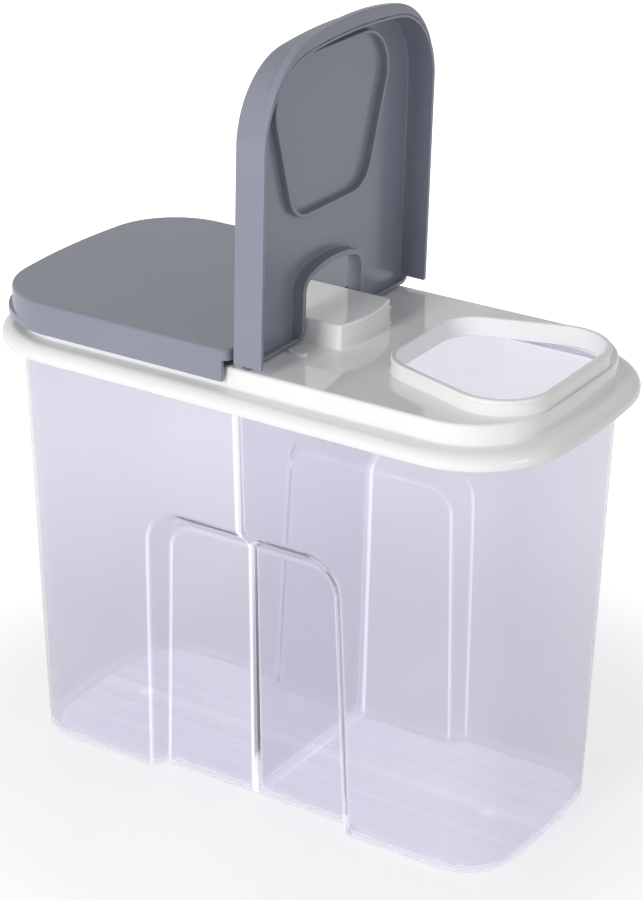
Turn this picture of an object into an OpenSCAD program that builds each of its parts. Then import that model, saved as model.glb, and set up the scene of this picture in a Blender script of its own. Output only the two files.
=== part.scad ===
// Two-compartment dry-food keeper with two flip lids.
// +X runs along the length towards the right-hand flap, -Y is the front and +Z is up.
// The origin is the middle of the foot. The left flap is drawn closed and the right one open.

/* [Tub] */
// Height of the tub from foot to rim
tub_h = 177.5; // [120:0.5:230]
// Thickness of the tub's walls
tub_wall = 1.5; // [1.2:0.1:2.2]
// Thickness of the tub's floor
floor_t = 1.8; // [1.2:0.1:3]
// Draft of the long sides in degrees
side_draft = 2.4; // [0.5:0.1:2.8]
// Draft of the two ends in degrees
end_draft = 1.2; // [0.5:0.1:2.4]
// Corner radius of the tub at its rim
tub_r = 25; // [20:1:28]
// Radius of the foot's outer edge
foot_r = 3; // [1.5:0.5:5]
// Radius between the walls and the floor inside
floor_r = 4; // [2:0.5:6]
// Thickness of the partition at the rim
divider_top_t = 2; // [1.5:0.1:3]
// Thickness of the partition at the floor
divider_foot_t = 3.3; // [2:0.1:5]
// Drop from the rim down to the top of the partition
divider_drop = 0.6; // [0.4:0.2:10]

/* [Rim] */
// Height of the rim's turned-down edge
rim_h = 3.4; // [2.4:0.1:4]
// Thickness of the rim
rim_t = 1.6; // [1.2:0.1:2]

/* [Grip recess] */
// Height of the recess, measured on its floor
recess_h = 111; // [60:1:112]
// Width of the recess's floor at the foot
recess_foot_w = 84; // [50:1:90]
// Width of the recess's floor near its top
recess_top_w = 76; // [44:1:82]
// Radius of the recess's upper corners
recess_r = 12; // [6:1:18]
// Depth of the recess below the wall's face at the foot
recess_foot_depth = 6.5; // [2:0.5:8]
// Lean of the recess's floor in degrees
recess_lean = 1.5; // [0:0.1:2]
// Run of the recess's sides for each millimetre of depth
recess_side_slope = 0.6; // [0.2:0.05:1]
// Run of the recess's upper ledge for each millimetre of depth
recess_ledge_slope = 0.95; // [0.4:0.05:1.4]

/* [Lid] */
// Overall length of the lid
lid_l = 245; // [215:1:300]
// Overall width of the lid
lid_w = 126; // [112:1:160]
// Corner radius of the lid's outline
lid_r = 39; // [36:1:44]
// Radius of the gentle bow of the lid's two ends
lid_bow = 270; // [220:10:600]
// Thickness of the lid's walls
lid_t = 1.6; // [1.2:0.1:2]
// Thickness of the lid's top plate
plate_t = 1.8; // [1.4:0.1:2.4]
// Height of the upper tier above the shoulder
tier_h = 8; // [6:0.5:9]
// Inset of the tier's wall from the lid's outline
tier_inset = 8.4; // [8:0.1:9.5]
// Depth of the edge band below the shoulder's underside
band_h = 4.5; // [3.8:0.1:6]

/* [Pour collars] */
// Distance from the lid's middle to the collar's inner end
collar_inner = 45.5; // [44:0.5:52]
// Distance from the collar's outer end to the lid's outline
collar_margin = 10.4; // [9.6:0.1:16]
// Width of the collar at its outer, wider end
collar_w = 81; // [66:1:84]
// Width of the collar at its inner, narrower end
collar_inner_w = 62; // [50:1:64]
// Radius of the two corners at the wider end
collar_r = 20; // [12:0.5:22]
// Radius of the two corners at the narrower end
collar_inner_r = 16; // [8:0.5:18]
// Height of the collar above the plate
collar_h = 6; // [5:0.1:6]
// Thickness of the collar's wall
collar_t = 2; // [1.6:0.1:2.6]

/* [Hinge block] */
// Length of the block over its bowed ends
block_l = 52; // [44:1:56]
// Width of the block
block_w = 36; // [28:1:42]
// Height of the block above the plate
block_h = 9.7; // [9:0.1:10.4]
// Radius of the bow of the block's ends
block_bow = 48; // [36:1:80]
// Radius of the block's upright corners
block_r = 2; // [1.5:0.5:4]
// Distance of each hinge axis from the middle of the lid
hinge_x = 4.6; // [4.6:0.1:5.2]
// Height of the hinge axes above the plate
hinge_h = 4.9; // [4.9:0.1:5]
// Radius of the hinge pins
pin_r = 1.5; // [1.2:0.1:1.6]

/* [Flaps] */
// Height of the flap's top above the plate when it is closed
flap_h = 7.7; // [7.7:0.1:8.2]
// Thickness of the flap's top and skirt
flap_t = 1.5; // [1.2:0.1:1.6]
// Depth of the skirt
skirt_h = 12.5; // [10:0.5:13]
// Depth of the low wall round the hinge end
low_wall_h = 4.3; // [3.6:0.1:4.4]
// Radius of the two outer corners
flap_r = 31; // [24:0.5:32]
// Radius of the two corners at the hinge end
flap_hinge_r = 4; // [3:0.5:5]
// Distance of the skirt's end from the middle of the lid
skirt_start = 3.1; // [2.5:0.1:4]
// Depth of the wall round the notch
notch_wall_h = 6.3; // [5:0.1:6.4]
// Thickness of the wall round the notch and of the hinge eyes
notch_wall_t = 2.2; // [1.8:0.1:2.6]
// Radius of the notch's inner corners
notch_r = 5.5; // [3:0.5:7]
// Outer radius of the hinge eyes
eye_r = 3.3; // [2.8:0.1:3.4]
// Depth of the seal ring under the flap
seal_h = 2.6; // [1.5:0.1:3]
// Thickness of the seal ring
seal_t = 1.5; // [1.2:0.1:2]
// Distance from each side of the flap to the end of the finger lip
lip_margin = 3.7; // [2:0.1:24]
// Reach of the finger lip beyond the skirt
lip_reach = 4.8; // [1:0.1:5]
// Height of the finger lip
lip_h = 3; // [2:0.5:8]
// Angle at which the right-hand flap stands open, in degrees
open_angle = 89; // [60:0.5:90]

/* [Clearances] */
// Gap between the rim and the lid that rests on it
seat_gap = 0.2; // [0.1:0.05:0.4]
// Gap between the rim's edge and the bead inside the band
rim_gap = 0.3; // [0.2:0.05:0.6]
// Gap between a flap's skirt and the tier along the long sides
skirt_gap = 1.6; // [0.6:0.1:2]
// Gap between a flap's skirt and the tier at the ends
skirt_end_gap = 1.6; // [1:0.1:2.8]
// Gap between the notch and the hinge block
notch_gap = 1; // [0.8:0.1:1.4]
// Half the gap between the two closed flaps
meeting_gap = 0.4; // [0.4:0.05:0.8]
// Gap between the collar and the seal ring
seal_gap = 0.35; // [0.3:0.05:0.6]
// Radial running clearance of the hinge pins
pin_gap = 0.06; // [0.03:0.01:0.1]
// How far the pins stand out past the hinge eyes
pin_proud = 0.3; // [0.1:0.1:0.6]

/* [Smoothness] */
// Straight segments in each large rounded corner
corner_steps = 12; // [6:1:16]
// Straight segments in each bowed end
bow_steps = 8; // [4:2:16]
// Straight segments in each small corner
small_steps = 5; // [3:1:8]

/* [Hidden] */
$fn = 64;
over = 1;

// Radius left to a corner that an inset would otherwise close.
least_r = 0.2;

// The lid's band covers the rim, and the tub's wall stands inside it.
bead_inset = 3;
rim_inset = bead_inset + rim_gap;
rim_lip_t = 1.5;
wall_inset = 9.3;
tub_a = lid_l / 2 - wall_inset;
tub_b = lid_w / 2 - wall_inset;

// Levels of the lid, counted up from the rim.
ceiling_z = tub_h + seat_gap;
shoulder_z = ceiling_z + lid_t;
plate_z = shoulder_z + tier_h;
plate_under_z = plate_z - plate_t;
band_z = ceiling_z - band_h;
block_z = plate_z + block_h;

// The tier leans in a little towards its top.
tier_draft = 0.5;
tier_edge_r = 1.2;

// Levels and half sizes of a closed flap.
hinge_z = plate_z + hinge_h;
flap_z = plate_z + flap_h;
flap_under_z = flap_z - flap_t;
skirt_z = flap_z - skirt_h;
flap_a = lid_l / 2 - tier_inset + skirt_end_gap + flap_t;
flap_b = lid_w / 2 - tier_inset + skirt_gap + flap_t;
flap_bow = lid_bow - tier_inset;
flap_edge_r = 1;

// Half sizes of the notch, which follow the block.
notch_a = block_l / 2 + notch_gap;
notch_b = block_w / 2 + notch_gap;
notch_bow = block_bow + notch_gap;

// ---------- outlines ----------

// Points along an arc.
function arc(centre, r, from, to, steps) =
    [for (i = [0:steps]) let (a = from + (to - from) * i / steps) centre + r * [cos(a), sin(a)]];

// The same points without the first and the last, for an arc between two others.
function inner_arc(centre, r, from, to, steps) =
    [for (i = [1:steps - 1]) let (a = from + (to - from) * i / steps) centre + r * [cos(a), sin(a)]];

// One end of an outline: a bowed end at x = a, and a corner to each straight side at y = -b and y = b.
function bowed_end(a, b, corner, bow, steps) =
    let (
        bow_x = a - bow,
        corner_y = b - corner,
        corner_x = bow_x + sqrt(pow(bow - corner, 2) - pow(corner_y, 2)),
        turn = asin(corner_y / (bow - corner))
    )
    concat(
        arc([corner_x, -corner_y], corner, -90, -turn, steps),
        inner_arc([bow_x, 0], bow, -turn, turn, bow_steps),
        arc([corner_x, corner_y], corner, turn, 90, steps)
    );

// A whole outline with two such ends, drawn in by an inset.
function bowed(a, b, corner, bow, steps, inset = 0) =
    let (
        r = max(corner - inset, least_r),
        end = bowed_end(a - inset, b - inset, r, bow - inset, steps)
    )
    concat(end, [for (p = end) -p]);

function lid_outline(inset) = bowed(lid_l / 2, lid_w / 2, lid_r, lid_bow, corner_steps, inset);

// The tub's walls come in with the draft from the rim down to the foot.
function tub_outline(z, inset) =
    let (
        below = tub_h - z,
        a = tub_a - below * tan(end_draft) - inset,
        b = tub_b - below * tan(side_draft) - inset
    )
    bowed(a, b, tub_r - below * tan(end_draft) - inset, lid_bow - wall_inset, corner_steps);

function block_outline(inset) = bowed(block_l / 2, block_w / 2, block_r, block_bow, small_steps, inset);

function notch_outline(inset) = bowed(notch_a, notch_b, notch_r, notch_bow, small_steps, inset);

// A flap: a bowed outer end and small corners at the hinge end.
function flap_outline(inset) =
    let (
        r = flap_hinge_r - inset,
        x = meeting_gap + flap_hinge_r,
        y = flap_b - flap_hinge_r
    )
    concat(
        arc([x, -y], r, 180, 270, small_steps),
        bowed_end(flap_a - inset, flap_b - inset, flap_r - inset, flap_bow - inset, corner_steps),
        arc([x, y], r, 90, 180, small_steps)
    );

// A pour collar: a rounded trapezoid that widens outwards.
function collar_outline(inset) =
    let (
        x0 = collar_inner + collar_inner_r,
        y0 = collar_inner_w / 2 - collar_inner_r,
        x1 = lid_l / 2 - collar_margin - collar_r,
        y1 = collar_w / 2 - collar_r,
        lean = atan2(y1 - y0, x1 - x0) + asin((collar_r - collar_inner_r) / norm([x1 - x0, y1 - y0])),
        side = 90 + lean,
        r0 = collar_inner_r - inset,
        r1 = collar_r - inset
    )
    concat(
        arc([x0, -y0], r0, 180, 360 - side, corner_steps / 2),
        arc([x1, -y1], r1, -side, 0, corner_steps),
        arc([x1, y1], r1, 0, side, corner_steps),
        arc([x0, y0], r0, side, 180, corner_steps / 2)
    );

// ---------- solids from outlines ----------

// Lifts an outline to a height.
function raise(outline, z) = [for (p = outline) [p[0], p[1], z]];

// Skin over a stack of outlines that have the same number of points, closed at both ends.
module loft(rings) {
    n = len(rings[0]);
    last = (len(rings) - 1) * n;
    sides = [
        for (j = [0:len(rings) - 2], i = [0:n - 1])
            let (k = (i + 1) % n, low = j * n, high = low + n)
                [low + i, high + i, high + k, low + k]
    ];
    first_cap = [for (i = [0:n - 1]) i];
    last_cap = [for (i = [n - 1:-1:0]) last + i];
    polyhedron([for (r = rings) each r], concat([first_cap], sides, [last_cap]), convexity = 8);
}

module prism(outline, from, to) {
    translate([0, 0, from])
        linear_extrude(to - from)
            polygon(outline);
}

// Runs its children on both long sides and at both ends.
module four_ways() {
    for (x = [0, 1], y = [0, 1])
        mirror([x, 0, 0])
            mirror([0, y, 0])
                children();
}

module both_sides() {
    for (y = [0, 1])
        mirror([0, y, 0])
            children();
}

// ---------- tub ----------

// Rounded rise from a flat to a wall: pairs of inset and height.
function cove(r, steps) = [for (i = [0:steps]) let (a = 90 * i / steps) [r * (1 - sin(a)), r * (1 - cos(a))]];

module tub_outside() {
    foot = [for (c = cove(foot_r, 4)) raise(tub_outline(c[1], c[0]), c[1])];
    rim_under_z = tub_h - rim_t;
    rim = [
        raise(tub_outline(rim_under_z, 0), rim_under_z),
        raise(lid_outline(rim_inset + rim_lip_t), rim_under_z),
        raise(lid_outline(rim_inset + rim_lip_t), tub_h - rim_h),
        raise(lid_outline(rim_inset), tub_h - rim_h),
        raise(lid_outline(rim_inset), tub_h - rim_t / 2),
        raise(lid_outline(rim_inset + rim_t / 2), tub_h)
    ];
    loft(concat(foot, rim));
}

module tub_hollow() {
    floor_rings = [
        for (c = cove(floor_r, 3))
            raise(tub_outline(floor_t + c[1], tub_wall + c[0]), floor_t + c[1])
    ];
    mouth = [raise(tub_outline(tub_h, tub_wall), tub_h), raise(tub_outline(tub_h, tub_wall), tub_h + over)];
    loft(concat(floor_rings, mouth));
}

// Arched shape of the grip recess, standing on its foot.
function arch(foot_w, top_w, h, r) =
    concat(
        [[foot_w / 2, -over]],
        arc([top_w / 2 - r, h - r], r, 0, 90, small_steps + 2),
        arc([r - top_w / 2, h - r], r, 90, 180, small_steps + 2),
        [[-foot_w / 2, -over]]
    );

// Sideways growth of a sloping face when it and the floor it meets both move by t.
function lead(slope, t) = t * (sqrt(1 + slope * slope) - slope);

// The front grip recess as a solid, grown by a skin where the wall follows it inside.
module grip(skin) {
    floor_y = -(tub_b - tub_h * tan(side_draft)) + recess_foot_depth;
    reach = 16;
    side = lead(recess_side_slope, skin);
    ledge = lead(recess_ledge_slope, skin);
    sheet = 0.1;
    translate([0, floor_y + skin, 0])
        rotate([recess_lean + 90, 0, 0])
            hull() {
                linear_extrude(sheet)
                    polygon(arch(recess_foot_w + 2 * side, recess_top_w + 2 * side, recess_h + ledge, recess_r));
                translate([0, 0, reach])
                    linear_extrude(sheet)
                        polygon(arch(
                            recess_foot_w + 2 * side + 2 * reach * recess_side_slope,
                            recess_top_w + 2 * side + 2 * reach * recess_side_slope,
                            recess_h + ledge + reach * recess_ledge_slope,
                            recess_r + reach / 2
                        ));
            }
}

// The partition, thicker towards the floor.
module divider() {
    top_z = tub_h - divider_drop;
    reach = tub_b + over;
    translate([0, reach, 0])
        rotate([90, 0, 0])
            linear_extrude(2 * reach)
                polygon([
                    [-divider_foot_t / 2, 0],
                    [divider_foot_t / 2, 0],
                    [divider_top_t / 2, top_z],
                    [-divider_top_t / 2, top_z]
                ]);
}

// Low round mark that the mould's gate leaves on each compartment's floor.
module gate_mark() {
    translate([84, -2, floor_t - 0.2])
        cylinder(h = 0.5, r = 3);
}

module tub() {
    color([0.86, 0.85, 0.92, 0.45])
        difference() {
            tub_outside();
            both_sides() grip(0);
            difference() {
                tub_hollow();
                both_sides() grip(tub_wall);
                divider();
                for (x = [0, 1]) mirror([x, 0, 0]) gate_mark();
            }
        }
}

// ---------- lid ----------

// The lid's section, as pairs of inset and height, from the plate's underside round to its top.
module lid_shell() {
    inner_tier = tier_inset + lid_t;
    bead_h = 0.8;
    shoulder_r = ceiling_z - band_z - 2.5;
    shoulder_w = 5.2;
    curve_z = shoulder_z - 4.1;
    underside = [
        [inner_tier + tier_draft, plate_under_z],
        [inner_tier, ceiling_z],
        [bead_inset, ceiling_z],
        [lid_t, ceiling_z - shoulder_r],
        [lid_t, band_z + 1.6],
        [bead_inset, band_z + bead_h],
        [bead_inset - 0.6, band_z]
    ];
    band = [
        [0.5, band_z],
        [0, band_z + 0.8]
    ];
    shoulder = [
        for (i = [0:5])
            let (a = 90 * i / 5)
                [shoulder_w * (1 - cos(a)), curve_z + (shoulder_z - curve_z) * sin(a)]
    ];
    tier = [
        [tier_inset - 0.6, shoulder_z],
        [tier_inset, shoulder_z + 0.6],
        [tier_inset + tier_draft, plate_z - tier_edge_r]
    ];
    edge = [
        for (i = [1:4])
            let (a = 90 * i / 4)
                [tier_inset + tier_draft + tier_edge_r * (1 - cos(a)), plate_z - tier_edge_r * (1 - sin(a))]
    ];
    loft([for (p = concat(underside, band, shoulder, tier, edge)) raise(lid_outline(p[0]), p[1])]);
}

// The collar's outside, with a slightly swollen rim.
module collar() {
    rim_z = plate_z + collar_h;
    bead = 0.35;
    section = [
        [0, plate_z - plate_t / 2],
        [0, rim_z - 1.8],
        [-bead, rim_z - 1.3],
        [-bead, rim_z - 0.6],
        [0.2, rim_z]
    ];
    loft([for (p = section) raise(collar_outline(p[0]), p[1])]);
}

// The hinge block's outside, with a small draft and a rounded top edge.
module block_outside() {
    draft = 0.3;
    edge_r = 1;
    section = concat(
        [[0, plate_z - plate_t / 2]],
        [for (i = [0:3]) let (a = 90 * i / 3) [draft + edge_r * (1 - cos(a)), block_z - edge_r * (1 - sin(a))]]
    );
    loft([for (p = section) raise(block_outline(p[0]), p[1])]);
}

// A hinge pin on the block's front face, for the flap on the right.
module hinge_pin() {
    reach = notch_gap + notch_wall_t + pin_proud;
    lead_in = 0.4;
    translate([hinge_x, -block_w / 2, hinge_z])
        rotate([90, 0, 0]) {
            translate([0, 0, -over])
                cylinder(h = reach - lead_in + over, r = pin_r);
            translate([0, 0, reach - lead_in])
                cylinder(h = lead_in, r1 = pin_r, r2 = pin_r - lead_in);
        }
}

// Low pointed rib on the plate beside the arm of an open flap.
module plate_rib() {
    translate([0, 0, plate_z - plate_t / 2])
        linear_extrude(plate_t / 2 + 1)
            polygon([[6.4, -29], [8.4, -27.2], [15, -27.6], [15.4, -30.4], [9, -31]]);
}

module lid() {
    color([0.96, 0.96, 0.97])
        difference() {
            union() {
                lid_shell();
                for (x = [0, 1]) mirror([x, 0, 0]) collar();
                block_outside();
                four_ways() hinge_pin();
                four_ways() plate_rib();
            }
            for (x = [0, 1])
                mirror([x, 0, 0])
                    prism(collar_outline(collar_t), plate_under_z - over, plate_z + collar_h + over);
            prism(block_outline(lid_t + 0.3), plate_under_z - over, block_z - plate_t);
        }
}

// ---------- flaps ----------

// The flap's outside with a softly rounded top edge, full depth all round.
module flap_outside() {
    edge = [
        for (i = [0:3])
            let (a = 90 * i / 3)
                [flap_edge_r * (1 - cos(a)), flap_z - flap_edge_r * (1 - sin(a))]
    ];
    loft([for (p = concat([[0, skirt_z]], edge)) raise(flap_outline(p[0]), p[1])]);
}

// How far out the flap's outer end reaches at a distance y from its middle line.
function flap_end_x(y) =
    let (
        corner_y = flap_b - flap_r,
        bow_x = flap_a - flap_bow,
        corner_x = bow_x + sqrt(pow(flap_bow - flap_r, 2) - pow(corner_y, 2)),
        bow_y = flap_bow * corner_y / (flap_bow - flap_r)
    )
    abs(y) < bow_y
        ? bow_x + sqrt(pow(flap_bow, 2) - y * y)
        : corner_x + sqrt(pow(flap_r, 2) - pow(abs(y) - corner_y, 2));

// Crescent along the skirt's lower edge, round the outer end and its corners, to lift the flap by.
module finger_lip() {
    half_w = flap_b - lip_margin;
    turns = [for (i = [0:2 * corner_steps]) 90 * i / corner_steps - 90];
    outside = [for (a = turns) [flap_end_x(half_w * sin(a)) + lip_reach * cos(a), half_w * sin(a)]];
    root = [for (a = turns) [flap_end_x(half_w * sin(a)) - flap_t / 2, -half_w * sin(a)]];
    prism(concat(outside, root), skirt_z, skirt_z + lip_h);
}

// The wall round the notch: full depth beyond the hinge axis, shallower towards the middle of the lid.
module notch_wall() {
    top_z = flap_under_z + flap_t / 2;
    intersection() {
        difference() {
            prism(notch_outline(-notch_wall_t), flap_z - notch_wall_h, top_z);
            prism(notch_outline(0), flap_z - notch_wall_h - over, top_z + over);
        }
        union() {
            translate([hinge_x, -flap_b, flap_z - notch_wall_h - over])
                cube([flap_a, 2 * flap_b, notch_wall_h + over]);
            translate([meeting_gap, -flap_b, flap_z - low_wall_h])
                cube([hinge_x, 2 * flap_b, low_wall_h]);
        }
    }
}

// Round ear that carries the hinge bore, cut off below the flap's top.
module hinge_eye() {
    intersection() {
        translate([hinge_x, -notch_b, hinge_z])
            rotate([90, 0, 0])
                cylinder(h = notch_wall_t, r = eye_r);
        translate([hinge_x - 2 * eye_r, -flap_b, hinge_z - 2 * eye_r])
            cube([4 * eye_r, flap_b, flap_under_z + flap_t / 2 - hinge_z + 2 * eye_r]);
    }
}

module hinge_bore() {
    translate([hinge_x, -notch_b + over, hinge_z])
        rotate([90, 0, 0])
            cylinder(h = notch_wall_t + 2 * over, r = pin_r + pin_gap);
}

// The ring under the flap that plugs the pour collar.
module seal_ring() {
    low_z = flap_under_z - seal_h;
    top_z = flap_under_z + flap_t / 2;
    out = collar_t + seal_gap;
    difference() {
        loft([
            raise(collar_outline(out + 0.4), low_z),
            raise(collar_outline(out), low_z + 0.6),
            raise(collar_outline(out), top_z)
        ]);
        prism(collar_outline(out + seal_t), low_z - over, top_z + over);
    }
}

// A flap, closed, on the right-hand side of the lid.
module flap() {
    difference() {
        union() {
            difference() {
                union() {
                    flap_outside();
                    finger_lip();
                }
                prism(flap_outline(flap_t), skirt_z - over, flap_under_z);
                translate([-over, -flap_b - over, skirt_z - over])
                    cube([skirt_start + over, 2 * (flap_b + over), skirt_h - low_wall_h + over]);
                prism(notch_outline(0), skirt_z - over, flap_z + over);
            }
            notch_wall();
            both_sides() hinge_eye();
            seal_ring();
        }
        both_sides() hinge_bore();
    }
}

module left_flap() {
    color([0.48, 0.49, 0.57])
        rotate([0, 0, 180])
            flap();
}

module right_flap() {
    color([0.48, 0.49, 0.57])
        translate([hinge_x, 0, hinge_z])
            rotate([0, -open_angle, 0])
                translate([-hinge_x, 0, -hinge_z])
                    flap();
}

tub();
lid();
left_flap();
right_flap();
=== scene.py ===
"""Two-compartment dry-food keeper with two flip lids: its looks, its studio and its camera.

Sizes are in millimetres until a mesh is made, which is in metres in the frame's own axes:
+X runs along the length towards the right-hand flap, -Y is the front and +Z is up.
"""

import logging
import math
from collections.abc import Callable, Sequence
from dataclasses import dataclass, field
from enum import Enum

import bmesh
import bpy
import numpy as np
from mathutils import Matrix, Vector
from mathutils.geometry import tessellate_polygon


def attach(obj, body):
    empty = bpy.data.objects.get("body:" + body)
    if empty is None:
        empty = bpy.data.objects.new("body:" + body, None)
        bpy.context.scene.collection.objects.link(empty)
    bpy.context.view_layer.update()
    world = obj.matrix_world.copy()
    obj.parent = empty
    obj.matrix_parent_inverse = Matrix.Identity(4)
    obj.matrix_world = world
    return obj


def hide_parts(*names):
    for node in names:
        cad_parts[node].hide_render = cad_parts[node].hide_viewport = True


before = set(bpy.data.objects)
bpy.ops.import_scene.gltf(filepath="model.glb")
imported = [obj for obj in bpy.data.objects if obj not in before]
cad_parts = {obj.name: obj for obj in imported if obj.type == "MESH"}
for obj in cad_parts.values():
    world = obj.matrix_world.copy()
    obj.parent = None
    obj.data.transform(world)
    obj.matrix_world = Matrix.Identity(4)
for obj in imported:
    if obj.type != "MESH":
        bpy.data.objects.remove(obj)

LOG = logging.getLogger("keeper")
# Point attribute that says where the clear plastic paints a highlight along its edges.
PAINTED_HIGHLIGHT_ATTRIBUTE = "edge"
MM = 0.001
MERGE_M = 2e-6
EMPTY_M = 1e-6
CIRCLE_STEPS = 32

Ring = np.ndarray
Colour = tuple[float, float, float]
Place = tuple[float, float, float]
Profile = Sequence[tuple[float, float]]
Socket = bpy.types.NodeSocket

BLACK: Colour = (0.0, 0.0, 0.0)
PURE_WHITE = (1.0, 1.0, 1.0, 1.0)


# ---------- shared sizes ----------


@dataclass(frozen=True)
class Keeper:
    """Sizes in millimetres that the four mouldings share."""

    half_length: float = 122.5
    half_width: float = 63.0
    corner: float = 39.0
    bow: float = 270.0
    rim: float = 177.5
    seat_gap: float = 0.2
    lid_wall: float = 1.6
    plate_wall: float = 1.8
    collar_wall: float = 2.0
    tier: float = 8.0
    tier_inset: float = 8.4
    hinge_x: float = 4.6
    hinge_h: float = 4.9
    flap_h: float = 7.7
    open_angle: float = 89.0

    @property
    def ceiling(self) -> float:
        """Level of the underside of the lid's shoulder."""
        return self.rim + self.seat_gap

    @property
    def shoulder(self) -> float:
        """Level of the lid's shoulder."""
        return self.ceiling + self.lid_wall

    @property
    def plate(self) -> float:
        """Level of the lid's top plate."""
        return self.shoulder + self.tier

    @property
    def plate_under(self) -> float:
        """Level of the underside of the top plate."""
        return self.plate - self.plate_wall

    @property
    def hinge_z(self) -> float:
        """Level of the two hinge axes."""
        return self.plate + self.hinge_h

    @property
    def flap_top(self) -> float:
        """Level of a closed flap's top."""
        return self.plate + self.flap_h


KEEPER = Keeper()


# ---------- outlines and sections ----------


def arc(centre: tuple[float, float], radius: float, start: float, end: float, steps: int) -> Ring:
    """Points along an arc.

    Args:
        centre: Middle of the arc.
        radius: Its radius.
        start: First angle in degrees.
        end: Last angle in degrees.
        steps: Number of straight segments.

    Returns:
        The points, one row each.
    """
    angles = np.radians(np.linspace(start, end, steps + 1))
    x = centre[0] + radius * np.cos(angles)
    y = centre[1] + radius * np.sin(angles)
    return np.column_stack((x, y))


def circle(radius: float) -> Ring:
    """A whole circle round the origin."""
    return arc((0, 0), radius, 0, 360, CIRCLE_STEPS)[:-1]


@dataclass(frozen=True)
class BowedPlan:
    """An outline with two straight sides and two bowed ends, with a corner between each."""

    half_length: float
    half_width: float
    corner: float
    bow: float

    @property
    def bow_x(self) -> float:
        """Place of the bow's centre on the middle line."""
        return self.half_length - self.bow

    @property
    def corner_y(self) -> float:
        """Distance of the corners' centres from the middle line."""
        return self.half_width - self.corner

    @property
    def corner_x(self) -> float:
        """How far out the corners' centres lie."""
        return self.bow_x + math.sqrt((self.bow - self.corner) ** 2 - self.corner_y**2)

    def drawn_in(self, inset: float) -> "BowedPlan":
        """The outline drawn in by an inset, or let out by a negative one."""
        sizes = (self.half_length, self.half_width, self.corner, self.bow)
        return BowedPlan(*(size - inset for size in sizes))

    def end(self, corner_steps: int, bow_steps: int) -> Ring:
        """One end of the outline.

        Args:
            corner_steps: Segments in each corner.
            bow_steps: Segments in the bow.

        Returns:
            The points from the front corner round to the back corner.
        """
        x, y = self.corner_x, self.corner_y
        turn = math.degrees(math.asin(y / (self.bow - self.corner)))
        return np.vstack(
            (
                arc((x, -y), self.corner, -90, -turn, corner_steps),
                arc((self.bow_x, 0), self.bow, -turn, turn, bow_steps)[1:-1],
                arc((x, y), self.corner, turn, 90, corner_steps),
            )
        )

    def closed(self, corner_steps: int, bow_steps: int) -> Ring:
        """The whole outline, counter-clockwise, with its segments as for one end."""
        end = self.end(corner_steps, bow_steps)
        return np.vstack((end, -end))


LID_PLAN = BowedPlan(KEEPER.half_length, KEEPER.half_width, KEEPER.corner, KEEPER.bow)


@dataclass(frozen=True)
class CollarPlan:
    """Plan of a pour collar: a rounded trapezoid that widens outwards."""

    inner: float = 45.5
    margin: float = 10.4
    width: float = 81.0
    inner_width: float = 62.0
    radius: float = 20.0
    inner_radius: float = 16.0
    steps: int = 18
    inner_steps: int = 12

    def outline(self, inset: float) -> Ring:
        """The right-hand collar's outline, drawn in by an inset.

        Args:
            inset: How far the outline is drawn in.

        Returns:
            The closed outline, counter-clockwise.
        """
        x0 = self.inner + self.inner_radius
        y0 = self.inner_width / 2 - self.inner_radius
        x1 = KEEPER.half_length - self.margin - self.radius
        y1 = self.width / 2 - self.radius
        reach = math.hypot(x1 - x0, y1 - y0)
        widening = math.atan2(y1 - y0, x1 - x0)
        lean = math.degrees(widening + math.asin((self.radius - self.inner_radius) / reach))
        side = 90 + lean
        r0 = self.inner_radius - inset
        r1 = self.radius - inset
        return np.vstack(
            (
                arc((x0, -y0), r0, 180, 360 - side, self.inner_steps),
                arc((x1, -y1), r1, -side, 0, self.steps),
                arc((x1, y1), r1, 0, side, self.steps),
                arc((x0, y0), r0, side, 180, self.inner_steps),
            )
        )


COLLAR_PLAN = CollarPlan()


def soft_min(a: Ring, b: Ring | float, width: float) -> Ring:
    """The lesser of two values, with the crossing rounded off over a width."""
    near = np.clip(width - np.abs(a - b), 0, None) / width
    return np.minimum(a, b) - near * near * width / 4


def soft_max(a: Ring, b: Ring | float, width: float) -> Ring:
    """The greater of two values, with the crossing rounded off over a width."""
    return -soft_min(-a, -b, width)


def rounded(radius: float, steps: int) -> list[tuple[float, float]]:
    """Pairs of inset and drop along a quarter circle, from the side round to the top."""
    turns = [math.radians(90 * i / steps) for i in range(steps + 1)]
    return [(radius * (1 - math.cos(a)), radius * (1 - math.sin(a))) for a in turns]


def shifted(inset: float, level: float, offsets: Profile) -> list[tuple[float, float]]:
    """A run of a section: pairs of inset and level at offsets from one such pair."""
    return [(inset + aside, level + rise) for aside, rise in offsets]


def spaced(keys: Sequence[float], counts: Sequence[int]) -> Ring:
    """Values from the first key to the last, in so many even steps between each two keys."""
    runs = [np.linspace(a, b, n, endpoint=False) for a, b, n in zip(keys, keys[1:], counts)]
    return np.concatenate((*runs, keys[-1:]))


# ---------- meshes ----------


def stand(name: str, data: bpy.types.ID) -> bpy.types.Object:
    """Puts a mesh, a lamp or a camera into the scene.

    Args:
        name: Name of the object.
        data: What the object shows.

    Returns:
        The object, at the origin.
    """
    made = bpy.data.objects.new(name, data)
    bpy.context.scene.collection.objects.link(made)
    return made


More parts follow.
